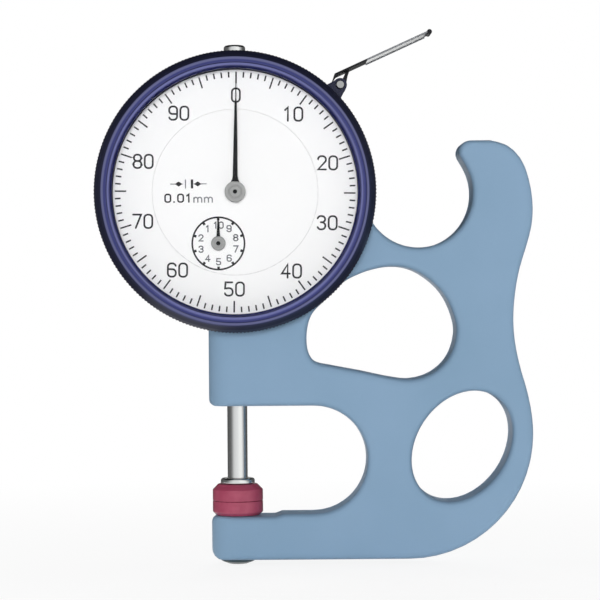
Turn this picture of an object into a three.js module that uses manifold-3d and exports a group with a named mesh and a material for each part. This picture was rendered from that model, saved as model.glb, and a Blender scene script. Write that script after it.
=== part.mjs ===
// A dial thickness gauge: a cast bow frame with a dial gauge at its head and an anvil on its arm.
// Millimetres, +Z up. Inside the inner group the spindle runs along Z at x = y = 0, the anvil's
// measuring face is at z = 0 and the dial looks towards -Y.

import * as THREE from 'three';
import { mergeVertices } from 'three/addons/utils/BufferGeometryUtils.js';
import Module from 'manifold-3d';

const wasm = await Module();
wasm.setup();

// Clearances shared by all pieces
const seatGap = 0.05;
const runningGap = 0.1;
const looseGap = 0.3;
const overrun = 1;
const weldDistance = 0.0001;

// Frame casting
const dialHeight = 60.95;
const frameThickness = 10.4;
const frameTopRise = 10.1;
const edgeRound = 1;
const armFloor = 2.65;
const armLeft = 5.2;
const headLeft = 5.6;
const leftCornerRadius = 1.2;
const armCornerRadius = 2;
const heelTopShare = 0.1844;
const heelInset = 0.25;
const throatRadius = 10.65;
const throatDepth = 25.77;
const spotFaceDepth = 0.5;
const spotFaceReach = 7.6;
const spotFaceSlope = 1.2;
const notchRadius = 10.75;
const notchInset = 22.57;
const notchRise = -0.23;
const notchStartDegrees = 30;
const notchEndDegrees = 204;
const hookTipRadius = 2.25;
const hookTipReach = 10.27;
const hookTipEndDegrees = 200;
const waist = 8.63;
const backWall = 4.35;
const ovalCentreZ = 10.67;
const ovalLong = 11.8;
const ovalShort = 8.95;
const ovalTiltDegrees = 55;
const fingerHoleLeft = 13.9;
const fingerHoleFloor = 23.95;
const fingerHoleBackWall = 15.25;
const fingerHoleWall = 3.67;

// Back edge of the frame: shares of frameReach and of frameTop
const backEdgeShares = [
  [0.9925, 0.232], [0.9765, 0.3026], [0.955, 0.3645], [0.9385, 0.429], [0.9318, 0.4926],
  [0.9365, 0.563], [0.953, 0.64], [0.9785, 0.708], [0.996, 0.765], [1, 0.82],
  [0.9895, 0.884], [0.964, 0.9444], [0.917, 0.985], [0.86, 1],
];

// Finger hole: shares of fingerHoleWidth and of fingerHoleHeight from its lower left corner
const fingerHoleShares = [
  [1, 0.418], [0.973, 0.593], [0.908, 0.763], [0.81, 0.89], [0.69, 0.978], [0.56, 1],
  [0.43, 0.969], [0.345, 0.93], [0.251, 0.866], [0.125, 0.705], [0.034, 0.584], [0, 0.427],
  [0.007, 0.253], [0.051, 0.163], [0.156, 0.128], [0.366, 0.074], [0.554, 0.02], [0.69, 0],
  [0.834, 0.054], [0.949, 0.195],
];

// Spindle and its fittings
const spindleRadius = 2;
const contactRadius = 5;
const contactHeight = 3.3;
const contactChamfer = 1.1;
const studRadius = 1;
const studLength = 4;
const collarRadius = 3.4;
const collarHeight = 1.1;
const collarLip = 0.3;
const capClearance = 0.9;
const capHeight = 2.6;
const capRadius = 2.15;
const capChamfer = 0.35;
const capNeckLength = 1.6;
const capNeckRadius = 1;
const spindleTravel = 10;

// Anvil
const anvilHeight = 2.85;
const anvilChamfer = 0.65;
const anvilShankRadius = 2;
const anvilShankLength = 6;
const anvilScrewRadius = 0.9;
const anvilScrewReach = 4.2;
const anvilHeadRadius = 3.4;
const anvilHeadHeight = 0.95;
const anvilHeadRim = 0.4;
const anvilHeadTopShare = 0.55;

// Stem, its screws and the upper bush
const stemRadius = 3.8;
const stemLowerInset = 0.26;
const stemUpperInset = 2.6;
const clampScrewRadius = 1.5;
const clampScrewShares = [0.26, 0.729];
const clampScrewSlotWidth = 0.5;
const clampScrewSlotDepth = 0.8;
const bushRadius = 3;
const bushClearance = 0.2;
const bushRise = 1.2;

// Case
const caseStep = 0.7;
const caseWall = 1.4;
const caseFront = -8;
const backRoom = 0.9;
const rimDepth = 2;
const webThickness = 1;
const webWindowRadius = 5.5;
const cradleGap = 0.3;
const bossRadius = 2;
const bossInset = 1.8;
const bossFront = 2;
const bossAnglesDegrees = [25, 155, 205, 335];
const bossBoreRadius = 0.75;

// Lever lug on the case
const pivotStandOff = 5.119;
const pivotDegrees = 45.742;
const lugRadius = 1.35;
const lugEarThickness = 1.6;
const lugSpan = 6.4;
const lugCentreY = 1.5;
const lugRootRadius = 3.1;
const pinRadius = 0.8;
const pinOverhang = 0.7;

// Back cover
const coverInset = 0.4;
const coverThickness = 1.2;
const coverChamfer = 0.4;
const coverScrewHeadRadius = 1.5;
const coverScrewHeadDepth = 0.8;
const coverScrewShankRadius = 0.6;
const coverScrewLength = 4.5;
const coverSlotWidth = 0.4;
const coverSlotDepth = 0.35;

// Bezel, its wire and the crystal
const bezelLipRadius = 23.95;
const bezelLipDepth = 1.1;
const crystalRise = 4.1;
const skirtLength = 1.7;
const skirtStep = 0.55;
const innerRidgeStep = 1;
const innerRidgeDepth = 0.25;
const valleyStep = 0.55;
const ridgeValleyDepth = 0.7;
const outerRidgeStep = 0.6;
const shoulderStep = 0.8;
const shoulderDepth = 0.7;
const sideStep = 0.6;
const sideRoundDepth = 2;
const bezelBackChamfer = 0.5;
const wireGrooveStep = 0.5;
const wireGrooveWidth = 0.9;
const wireGrooveInset = 0.6;
const wireRadius = 0.25;
const wireClearance = 0.15;
const wireSplitDegrees = 14;
const wireSteps = 36;
const crystalSeatStep = 0.35;
const crystalThickness = 1;
const crystalDome = 0.7;
const crystalDomeSteps = 3;
const crystalBoreGap = 0.1;

// Dial, hands and counter
const dialRingWidth = 7.7;
const dialThickness = 0.7;
const dialBoreStep = 0.15;
const discHoleRadius = 0.9;
const handRise = 2;
const handThickness = 0.3;
const handInset = 1.9;
const handRootHalf = 0.42;
const handTipHalf = 0.17;
const handFlareHalf = 0.85;
const handFlareLength = 3;
const hubRadius = 2.05;
const hubChamfer = 0.2;
const counterHandRise = 1;
const counterHandLength = 4.9;
const counterHandHalf = 0.2;
const counterHandThickness = 0.2;
const counterHubRadius = 1.4;

// Movement: rack, pinions and wheels
const rackPitch = 0.625;
const spareRackTeeth = 4;
const rackToothDepth = 0.38;
const rackPinionTeeth = 16;
const toothRelief = 0.05;
const rackPinionFaceHalf = 1.4;
const counterDrop = 10;
const wheelTeeth = 100;
const centrePinionTeeth = 10;
const wheelThickness = 0.6;
const wheelInset = 1;
const centrePinionHalf = 0.8;
const toothHeight = 0.4;
const wheelHubRadius = 1.6;
const wheelRimWidth = 1.6;
const wheelSpokeWidth = 1.4;
const arborRadius = 0.45;
const pivotRadius = 0.45;

// Plates, pillars and cock
const plateThickness = 0.8;
const middlePlateInset = 1.4;
const plateInset = 2.5;
const pillarRadius = 1.3;
const pillarInset = 2.5;
const pillarAnglesDegrees = [20, 160, 300];
const pillarBoreRadius = 0.7;
const plateScrewHeadRadius = 1.5;
const plateScrewHeadHeight = 0.7;
const plateScrewLength = 2.8;
const cockInset = 1;
const cockThickness = 0.8;
const cockLeft = 10.4;
const cockRight = 2.4;
const cockHalfHeight = 2.2;
const cockFootWidth = 3;
const cockScrewHeadRadius = 1.1;
const cockScrewHeadHeight = 0.6;

// Hairspring and its stud
const hairspringTurns = 4;
const hairspringInner = 1.1;
const hairspringOuter = 5.2;
const hairspringWidth = 0.6;
const hairspringStrip = 0.25;
const hairspringInset = 0.7;
const hairspringStepsPerTurn = 14;
const studBlock = 1;

// Guide pin, guide plate, measuring spring and post
const guidePinRadius = 0.7;
const guideSlotClear = 0.1;
const guidePlateInset = 0.85;
const guidePlateWidth = 8;
const guideSlotMargin = 0.4;
const guidePlateMargin = 1.2;
const springRadius = 0.95;
const springWireRadius = 0.2;
const springTurns = 10;
const springStepsPerTurn = 8;
const springWireSides = 5;
const postDrop = 9;
const postRadius = 0.7;
const postBaseRadius = 1.4;
const postBaseFront = 2.6;

// Lifting lever
const leverThickness = 0.8;
const leverWidth = 8;
const leverReach = 17.33;
const leverRise = 10.1;
const leverElbowRise = 1.79;
const leverElbowX = -0.97;
const leverHubRadius = 1.5;
const leverRollRadius = 0.75;
const leverArmInset = 0.15;
const leverArmThickness = 0.8;
const leverArmHalf = 0.5;
const leverTopRoom = 3.1;
const leverPinLag = 0.4;
const leverSlotMargin = 0.4;
const leverSlotEndMargin = 0.8;
const leverArmEnd = 1.6;
const leverNeckShare = 0.16;
const plateScrewRadius = 0.55;

// Facet counts
const dialFacets = 60;
const contactFacets = 36;
const spindleFacets = 24;
const smallFacets = 12;
const curveFacets = 12;
const heelSteps = 14;
const backEdgeSteps = 30;
const hookTipSteps = 8;
const notchSteps = 22;
const throatSteps = 20;
const cornerSteps = 5;
const fingerHoleSteps = 52;
const ovalSteps = 44;

// Materials
const paint = { color: 0x87a3bd, roughness: 0.45, metalness: 0 };
const redCeramic = { color: 0xa35268, roughness: 0.35, metalness: 0 };
const steel = { color: 0xc8c8c6, roughness: 0.25, metalness: 1 };
const darkCase = { color: 0x1f2233, roughness: 0.5, metalness: 0.2 };
const blueAnodised = { color: 0x4a4d8c, roughness: 0.35, metalness: 0.6 };
const whiteEnamel = { color: 0xf9f9fb, roughness: 0.5, metalness: 0 };
const blackPaint = { color: 0x101010, roughness: 0.5, metalness: 0 };
const greyMetal = { color: 0xb0b0ae, roughness: 0.35, metalness: 0.8 };
const brass = { color: 0xb5944a, roughness: 0.35, metalness: 1 };
const blueSpring = { color: 0x3a4660, roughness: 0.3, metalness: 1 };
const clearGlass = { color: 0xffffff, roughness: 0.05, metalness: 0, transparent: true, opacity: 0.25 };

// Values worked out from the ones above: the frame
const frameHalf = frameThickness / 2;
const frameTop = dialHeight + frameTopRise;
const armDrop = anvilHeight + anvilShankLength + armFloor;
const ovalTilt = radians(ovalTiltDegrees);
const ovalHalfWidth = Math.hypot(ovalLong * Math.cos(ovalTilt), ovalShort * Math.sin(ovalTilt));
const throatCentreX = throatDepth - throatRadius;
const ovalCentreX = throatDepth + waist + ovalHalfWidth;
const frameReach = ovalCentreX + ovalHalfWidth + backWall;
const heelReach = frameReach - heelInset;
const heelRadius = armDrop + frameTop * heelTopShare;
const notchCentreX = frameReach - notchInset;
const hookTipX = notchCentreX + hookTipReach;
const fingerHoleWidth = frameReach - fingerHoleBackWall - fingerHoleLeft;
const spotFaceDrop = anvilHeight + seatGap;
const throatFloorDrop = spotFaceDrop - spotFaceDepth;
const throatTop = throatRadius * 2 - throatFloorDrop;
const notchCentreZ = dialHeight + notchRise;
const fingerHoleHeight = notchCentreZ - notchRadius - fingerHoleWall - fingerHoleFloor;

// Rings round the dial axis, from the dial's window outwards
const dialOuterRadius = bezelLipRadius - seatGap;
const discRadius = dialOuterRadius - dialRingWidth;
const dialBoreRadius = bezelLipRadius + dialBoreStep;
const crystalRadius = bezelLipRadius + crystalSeatStep;
const bezelSkirtRadius = bezelLipRadius + skirtStep;
const innerRidgeRadius = bezelLipRadius + innerRidgeStep;
const ridgeValleyRadius = innerRidgeRadius + valleyStep;
const outerRidgeRadius = ridgeValleyRadius + outerRidgeStep;
const shoulderRadius = outerRidgeRadius + shoulderStep;
const bezelRadius = shoulderRadius + sideStep;
const wireGrooveRadius = bezelSkirtRadius + wireGrooveStep;
const rimRadius = bezelSkirtRadius - looseGap;
const wireCentreRadius = rimRadius + wireClearance + wireRadius;
const caseRadius = rimRadius + caseStep;
const caseInner = caseRadius - caseWall;
const coverRadius = caseRadius - coverInset;
const bossPlaceRadius = caseInner - bossInset;
const plateRadius = caseInner - plateInset;
const pillarPlaceRadius = plateRadius - pillarInset;
const handLength = dialOuterRadius - handInset;

// Depths from the case's front face: the dial's side
const dialBack = caseFront - looseGap;
const dialFront = dialBack - dialThickness;
const counterHandFront = dialFront - counterHandRise;
const handFront = dialFront - handRise;
const bezelLipFront = dialFront - crystalRise;
const bezelFront = bezelLipFront - bezelLipDepth;
const bezelBack = caseFront + skirtLength;
const rimBack = caseFront + rimDepth;
const wireGrooveY = caseFront + wireGrooveInset;

// Depths inside the case, front to back
const frontPlateFront = caseFront + webThickness + runningGap;
const frontPlateBack = frontPlateFront + plateThickness;
const hairspringY = frontPlateBack + hairspringInset;
const wheelY = hairspringY + wheelInset;
const middlePlateFront = wheelY + middlePlateInset;
const middlePlateBack = middlePlateFront + plateThickness;
const cockFront = rackPinionFaceHalf + cockInset;
const leverArmFront = spindleRadius + leverArmInset;
const guidePlateFront = leverArmFront + leverArmThickness + guidePlateInset;
const guidePlateBack = guidePlateFront + plateThickness;
const springCentreY = guidePlateBack + looseGap + springRadius;
const guidePinBack = springCentreY + springRadius - runningGap;
const caseBack = guidePinBack + backRoom;
const coverFront = caseBack + seatGap;
const coverBack = coverFront + coverThickness;

// Places of the lever's pivot and of the arbors, and heights up the spindle
const pivotX = (caseRadius + pivotStandOff) * Math.cos(radians(pivotDegrees));
const pivotRise = (caseRadius + pivotStandOff) * Math.sin(radians(pivotDegrees));
const leverFront = lugCentreY - leverWidth / 2;
const leverArmDrop = caseInner - spindleTravel - leverTopRoom;
const rackTeeth = Math.ceil(spindleTravel / rackPitch) + spareRackTeeth;
const counterX = -(spindleRadius - runningGap - toothRelief * 2 + rackTeethReach());
const pinionPitchRadius = rackPitch * rackPinionTeeth / (Math.PI * 2);
const centreDistance = Math.hypot(counterX, counterDrop);
const wheelPitchRadius = centreDistance * wheelTeeth / (wheelTeeth + centrePinionTeeth);
const centrePinionRadius = centreDistance - wheelPitchRadius;
const takeupX = -counterX;
const takeupZ = counterDrop;
const spindleBottom = seatGap + contactHeight + seatGap + collarHeight + seatGap;
const capBottom = dialHeight + caseRadius + bushRise + capClearance;
const capTop = capBottom + capHeight;
const guidePinRise = pinRestRise();
const bushBottom = guidePinRise + spindleTravel + guidePinRadius + bushClearance;
const stemLower = throatTop + stemLowerInset;
const stemUpper = dialHeight - caseRadius + stemUpperInset;
const headHeight = dialHeight - caseRadius - throatTop;
const clampScrewHeights = clampScrewShares.map((share) => throatTop + share * headHeight);

// How far the rack pinion's axis stands from the rack's tooth tips
function rackTeethReach() {
  return rackPitch * rackPinionTeeth / (Math.PI * 2) - toothRelief;
}

// Height of the guide pin over the dial axis, just clear of the lever's inner arm
function pinRestRise() {
  const drop = Math.hypot(pivotX, pivotRise - leverArmDrop) / pivotX;
  return leverArmDrop + leverArmHalf * drop + leverPinLag + guidePinRadius;
}

function radians(degrees) {
  return THREE.MathUtils.degToRad(degrees);
}

// Signed volume of an indexed mesh, used to turn its faces outwards
function signedVolume(positions, index) {
  let sum = 0;
  const a = new THREE.Vector3();
  const b = new THREE.Vector3();
  const c = new THREE.Vector3();
  for (let i = 0; i < index.length; i += 3) {
    a.fromBufferAttribute(positions, index[i]);
    b.fromBufferAttribute(positions, index[i + 1]);
    c.fromBufferAttribute(positions, index[i + 2]);
    sum += a.dot(b.cross(c));
  }
  return sum;
}

// Turns a closed three.js geometry into a solid that can be joined and cut
function toSolid(geometry) {
  const bare = geometry.clone();
  bare.deleteAttribute('normal');
  bare.deleteAttribute('uv');
  const welded = mergeVertices(bare, weldDistance);
  const corners = Array.from(welded.index.array);
  const kept = [];
  for (let i = 0; i < corners.length; i += 3) {
    const [a, b, c] = corners.slice(i, i + 3);
    if (a !== b && b !== c && c !== a) kept.push(a, b, c);
  }
  if (signedVolume(welded.attributes.position, kept) < 0) kept.reverse();
  const vertProperties = new Float32Array(welded.attributes.position.array);
  const triVerts = new Uint32Array(kept);
  return new wasm.Manifold(new wasm.Mesh({ numProp: 3, vertProperties, triVerts }));
}

function toGeometry(solid) {
  const mesh = solid.getMesh();
  const geometry = new THREE.BufferGeometry();
  geometry.setAttribute('position', new THREE.BufferAttribute(new Float32Array(mesh.vertProperties), 3));
  geometry.setIndex(new THREE.BufferAttribute(new Uint32Array(mesh.triVerts), 1));
  geometry.computeVertexNormals();
  return geometry;
}

function join(first, ...others) {
  return others.reduce((sum, other) => sum.add(other), first);
}

function cut(first, ...others) {
  return others.reduce((rest, other) => rest.subtract(other), first);
}

// Turned piece about the Y axis: the profile is a loop of [radius, y] points
function turned(profile, facets) {
  const loop = profile.map(([radius, y]) => new THREE.Vector2(radius, y));
  if (profile[0][0] > 0) loop.push(loop[0].clone());
  return toSolid(new THREE.LatheGeometry(loop, facets));
}

// Turned piece about the Z axis: the profile is a loop of [radius, z] points
function turnedUpright(profile, facets) {
  const loop = profile.map(([radius, y]) => new THREE.Vector2(radius, y));
  if (profile[0][0] > 0) loop.push(loop[0].clone());
  return toSolid(new THREE.LatheGeometry(loop, facets).rotateX(Math.PI / 2));
}

// Round rod along Y, from front to back, with its axis through x and z
function rodY(radius, front, back, x = 0, z = 0, facets = smallFacets) {
  const rod = new THREE.CylinderGeometry(radius, radius, back - front, facets);
  return toSolid(rod.translate(x, (front + back) / 2, z));
}

function rodZ(radius, bottom, top, facets = smallFacets) {
  const rod = new THREE.CylinderGeometry(radius, radius, top - bottom, facets);
  return toSolid(rod.rotateX(Math.PI / 2).translate(0, 0, (bottom + top) / 2));
}

function block(left, right, front, back, bottom, top) {
  const box = new THREE.BoxGeometry(right - left, back - front, top - bottom);
  return toSolid(box.translate((left + right) / 2, (front + back) / 2, (bottom + top) / 2));
}

// Flat piece: an outline drawn in x and z, as thick as front to back in y
function slab(shape, front, back, bevel = {}) {
  const settings = { depth: back - front, bevelEnabled: false, curveSegments: curveFacets, ...bevel };
  return toSolid(new THREE.ExtrudeGeometry(shape, settings).rotateX(Math.PI / 2).translate(0, back, 0));
}

function polygon(points) {
  return new THREE.Shape(points.map(([x, z]) => new THREE.Vector2(x, z)));
}

function onCircle(radius, degrees, centreX = 0, centreZ = 0) {
  const turn = radians(degrees);
  return [centreX + radius * Math.cos(turn), centreZ + radius * Math.sin(turn)];
}

// Wheel outline with pointed teeth
function toothed(tipRadius, rootRadius, teeth) {
  const points = [];
  for (let tooth = 0; tooth < teeth; tooth += 1) {
    const step = 360 / teeth;
    points.push(onCircle(tipRadius, step * tooth));
    points.push(onCircle(rootRadius, step * (tooth + 0.5)));
  }
  return polygon(points);
}

function smoothLoop(points, steps) {
  const spots = points.map(([x, z]) => new THREE.Vector3(x, z, 0));
  return new THREE.CatmullRomCurve3(spots, true, 'centripetal').getPoints(steps).slice(0, -1);
}

function smoothRun(points, steps) {
  const spots = points.map(([x, z]) => new THREE.Vector3(x, z, 0));
  return new THREE.CatmullRomCurve3(spots, false, 'centripetal').getPoints(steps);
}

function asPath(spots) {
  return new THREE.Path(spots.map((spot) => new THREE.Vector2(spot.x, spot.y)));
}

const gauge = new THREE.Group();
gauge.position.set(0, -coverBack, -dialHeight);
const dialGroup = new THREE.Group();
dialGroup.position.z = dialHeight;
gauge.add(dialGroup);

function place(name, solid, look, parent = gauge, x = 0, z = 0) {
  const mesh = new THREE.Mesh(toGeometry(solid), new THREE.MeshStandardMaterial(look));
  mesh.name = name;
  mesh.position.set(x, 0, z);
  parent.add(mesh);
  return mesh;
}

// Adds an arc to an outline as short straight steps, from one angle to another
function addArc(shape, centreX, centreZ, radius, fromDegrees, toDegrees, steps) {
  for (let step = 0; step <= steps; step += 1) {
    const degrees = fromDegrees + (toDegrees - fromDegrees) * step / steps;
    shape.lineTo(...onCircle(radius, degrees, centreX, centreZ));
  }
}

// Outline of the frame, anticlockwise from the bottom of the arm
function frameOutline() {
  const shape = new THREE.Shape();
  const throatCentreZ = throatRadius - throatFloorDrop;
  const heelCentreX = heelReach - heelRadius;
  const heelCentreZ = heelRadius - armDrop;
  shape.moveTo(armCornerRadius - armLeft, -armDrop);
  addArc(shape, heelCentreX, heelCentreZ, heelRadius, -90, 0, heelSteps);
  const back = backEdgeShares.map(([x, z]) => [x * frameReach, z * frameTop]);
  const run = smoothRun([[heelReach, heelCentreZ], ...back], backEdgeSteps);
  for (const spot of run.slice(1)) shape.lineTo(spot.x, spot.y);
  addArc(shape, hookTipX, frameTop - hookTipRadius, hookTipRadius, 90, hookTipEndDegrees, hookTipSteps);
  const notchEnd = notchEndDegrees - 360;
  addArc(shape, notchCentreX, notchCentreZ, notchRadius, notchStartDegrees, notchEnd, notchSteps);
  shape.lineTo(0, dialHeight - webWindowRadius);
  shape.lineTo(-headLeft, dialHeight - caseRadius + caseWall + bossRadius);
  const headCorner = leftCornerRadius;
  addArc(shape, headCorner - headLeft, throatTop + headCorner, headCorner, 180, 270, cornerSteps);
  addArc(shape, throatCentreX, throatCentreZ, throatRadius, 90, -90, throatSteps);
  shape.lineTo(spotFaceReach + spotFaceSlope, -throatFloorDrop);
  shape.lineTo(spotFaceReach, -spotFaceDrop);
  addArc(shape, headCorner - armLeft, -spotFaceDrop - headCorner, headCorner, 90, 180, cornerSteps);
  const armCorner = armCornerRadius;
  addArc(shape, armCorner - armLeft, armCorner - armDrop, armCorner, 180, 270, cornerSteps);
  return shape;
}

function fingerHole() {
  const spots = fingerHoleShares.map(([x, z]) => [
    fingerHoleLeft + x * fingerHoleWidth,
    fingerHoleFloor + z * fingerHoleHeight,
  ]);
  return asPath(smoothLoop(spots, fingerHoleSteps));
}

function ovalHole() {
  const path = new THREE.Path();
  path.absellipse(ovalCentreX, ovalCentreZ, ovalLong, ovalShort, 0, Math.PI * 2, true, ovalTilt);
  return new THREE.Path(path.getPoints(ovalSteps / 2).slice(0, -1));
}

// Plan outline that gives an end of the frame its half-round left side
function roundedEnd(left, bottom, top) {
  const right = frameReach + overrun;
  const shape = new THREE.Shape();
  shape.moveTo(right, frameHalf);
  shape.lineTo(frameHalf - left, frameHalf);
  shape.absarc(frameHalf - left, 0, frameHalf, Math.PI / 2, Math.PI * 1.5, false);
  shape.lineTo(right, -frameHalf);
  const settings = { depth: top - bottom, bevelEnabled: false, curveSegments: curveFacets };
  return toSolid(new THREE.ExtrudeGeometry(shape, settings).translate(0, 0, bottom));
}

function makeFrame() {
  const outline = frameOutline();
  outline.holes.push(fingerHole(), ovalHole());
  const bevel = {
    depth: frameThickness - edgeRound * 2,
    bevelEnabled: true,
    bevelThickness: edgeRound,
    bevelSize: edgeRound,
    bevelOffset: -edgeRound,
    bevelSegments: 2,
  };
  const casting = slab(outline, edgeRound - frameHalf, frameHalf - edgeRound, bevel);
  const throatMiddle = throatRadius - throatFloorDrop;
  const arm = roundedEnd(armLeft, -armDrop - overrun, throatMiddle + overrun);
  const head = roundedEnd(headLeft, throatMiddle, frameTop + overrun);
  const rounded = casting.intersect(join(arm, head));
  const outside = frameHalf + overrun;
  const cradle = rodY(caseRadius + cradleGap, -outside, outside, 0, dialHeight, dialFacets);
  const stemBore = rodZ(stemRadius + runningGap, throatMiddle, dialHeight, spindleFacets);
  const shankBottom = -anvilHeight - anvilShankLength;
  const shankBore = rodZ(anvilShankRadius + runningGap, shankBottom - seatGap, throatMiddle, spindleFacets);
  const screwBore = rodZ(anvilScrewRadius + looseGap, -armDrop - overrun, 0);
  const clampBores = clampScrewHeights.map((z) => (
    rodY(clampScrewRadius + runningGap, stemRadius - overrun, frameHalf + overrun, 0, z)
  ));
  return cut(rounded, cradle, stemBore, shankBore, screwBore, ...clampBores);
}

place('frame_casting', makeFrame(), paint);

// Anvil with its shank, and the screw that draws it down
const anvilBoreRadius = anvilScrewRadius + runningGap;
place('anvil', cut(
  turnedUpright([
    [0, 0],
    [contactRadius, 0],
    [contactRadius, anvilChamfer - anvilHeight],
    [contactRadius - anvilChamfer, -anvilHeight],
    [anvilShankRadius, -anvilHeight],
    [anvilShankRadius, -anvilHeight - anvilShankLength],
    [0, -anvilHeight - anvilShankLength],
  ], contactFacets),
  rodZ(anvilBoreRadius, -anvilHeight - anvilShankLength - overrun, -anvilHeight - anvilChamfer),
), redCeramic);

const anvilScrewTop = anvilScrewReach - anvilHeight - anvilShankLength;
const anvilHeadTop = -armDrop - seatGap;
place('anvil_screw', turnedUpright([
  [0, anvilScrewTop],
  [anvilScrewRadius, anvilScrewTop],
  [anvilScrewRadius, anvilHeadTop],
  [anvilHeadRadius, anvilHeadTop],
  [anvilHeadRadius, anvilHeadTop - anvilHeadRim],
  [anvilHeadRadius * anvilHeadTopShare, anvilHeadTop - anvilHeadHeight],
  [0, anvilHeadTop - anvilHeadHeight],
], smallFacets), greyMetal);

// Contact point with its stud, the collar and the spindle
const contactTop = seatGap + contactHeight;
place('contact_point', turnedUpright([
  [0, seatGap],
  [contactRadius, seatGap],
  [contactRadius, contactTop - contactChamfer],
  [contactRadius - contactChamfer, contactTop],
  [studRadius, contactTop],
  [studRadius, contactTop + studLength],
  [0, contactTop + studLength],
], contactFacets), redCeramic);

const collarBottom = contactTop + seatGap;
const boreRadius = studRadius + runningGap;
place('contact_collar', turnedUpright([
  [boreRadius, collarBottom],
  [collarRadius, collarBottom],
  [collarRadius, collarBottom + collarHeight - collarLip],
  [collarRadius - collarLip, collarBottom + collarHeight],
  [boreRadius, collarBottom + collarHeight],
], spindleFacets), steel);

// Spindle: round rod with a flat on its left side that carries the rack teeth
function makeSpindle() {
  const spindleTop = capBottom - seatGap;
  const rod = rodZ(spindleRadius, spindleBottom, spindleTop, spindleFacets);
  const bore = rodZ(boreRadius, spindleBottom - overrun, contactTop + studLength + seatGap);
  const neck = rodZ(capNeckRadius, spindleTop - overrun, spindleTop + capNeckLength);
  const rackTop = dialHeight - counterDrop + rackPitch * 2;
  const tipX = counterX + pinionPitchRadius + toothRelief;
  const rootX = tipX + rackToothDepth;
  const outside = -spindleRadius - overrun;
  const points = [[outside, rackTop], [tipX, rackTop]];
  for (let tooth = 0; tooth < rackTeeth; tooth += 1) {
    const top = rackTop - tooth * rackPitch;
    const quarter = rackPitch / 4;
    points.push([rootX, top - quarter], [rootX, top - quarter * 2]);
    points.push([tipX, top - quarter * 3], [tipX, top - rackPitch]);
  }
  points.push([outside, rackTop - rackTeeth * rackPitch]);
  const rackCut = slab(polygon(points), -spindleRadius - overrun, spindleRadius + overrun);
  const pinRise = dialHeight + guidePinRise;
  const pinBore = rodY(guidePinRadius + runningGap, 0, spindleRadius + overrun, 0, pinRise);
  return cut(join(rod, neck), bore, rackCut, pinBore);
}

place('spindle', makeSpindle(), steel);

place('spindle_cap', cut(
  turnedUpright([
    [0, capBottom],
    [capRadius, capBottom],
    [capRadius, capTop - capChamfer],
    [capRadius - capChamfer, capTop],
    [0, capTop],
  ], spindleFacets),
  rodZ(capNeckRadius + runningGap, capBottom - overrun, capBottom + capNeckLength),
), steel);

// Stem: the steel bush in the frame's head, with two set screws from the back
place('stem', cut(
  rodZ(stemRadius, stemLower, stemUpper, spindleFacets),
  rodZ(spindleRadius + runningGap, stemLower - overrun, stemUpper + overrun, spindleFacets),
), steel);

clampScrewHeights.forEach((z, number) => {
  const back = frameHalf - seatGap;
  const slotHalf = clampScrewSlotWidth / 2;
  const wide = clampScrewRadius + overrun;
  place(`stem_screw_${number + 1}`, cut(
    rodY(clampScrewRadius, stemRadius + seatGap, back),
    block(-wide, wide, back - clampScrewSlotDepth, back + overrun, -slotHalf, slotHalf),
  ), greyMetal, gauge, 0, z);
});

// Case: a round shell with a front web, screw bosses and a forked lug for the lever
// Angle at which the lever's inner arm, pointing at a height on the spindle, crosses a circle
function armCrossing(height, radius) {
  const reach = Math.hypot(pivotX, height - pivotRise);
  const inward = new THREE.Vector2(-pivotX, height - pivotRise).divideScalar(reach);
  const pivot = new THREE.Vector2(pivotX, pivotRise);
  const along = pivot.dot(inward);
  const distance = -along - Math.sqrt(along * along - pivot.lengthSq() + radius * radius);
  return pivot.addScaledVector(inward, distance).angle();
}

function leverSlot() {
  const lowest = armCrossing(leverArmDrop, caseRadius);
  const highest = armCrossing(leverArmDrop + spindleTravel, caseInner);
  const middle = (lowest + highest) / 2;
  const long = (highest - lowest) * caseRadius + (leverArmHalf + leverSlotEndMargin) * 2;
  const front = leverArmFront - leverSlotMargin;
  const back = leverArmFront + leverArmThickness + leverSlotMargin;
  const box = new THREE.BoxGeometry(caseWall + overrun * 2, back - front, long);
  const out = caseRadius - caseWall / 2;
  box.rotateY(-middle);
  return toSolid(box.translate(out * Math.cos(middle), (front + back) / 2, out * Math.sin(middle)));
}

function lugEar(front) {
  const shape = new THREE.Shape();
  const [rootX, rootZ] = onCircle(caseRadius - caseWall / 2, pivotDegrees);
  const side = radians(pivotDegrees) + Math.PI / 2;
  const across = [Math.cos(side), Math.sin(side)];
  shape.moveTo(rootX + across[0] * lugRootRadius, rootZ + across[1] * lugRootRadius);
  shape.lineTo(rootX - across[0] * lugRootRadius, rootZ - across[1] * lugRootRadius);
  shape.absarc(pivotX, pivotRise, lugRadius, side - Math.PI, side, false);
  return slab(shape, front, front + lugEarThickness);
}

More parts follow.
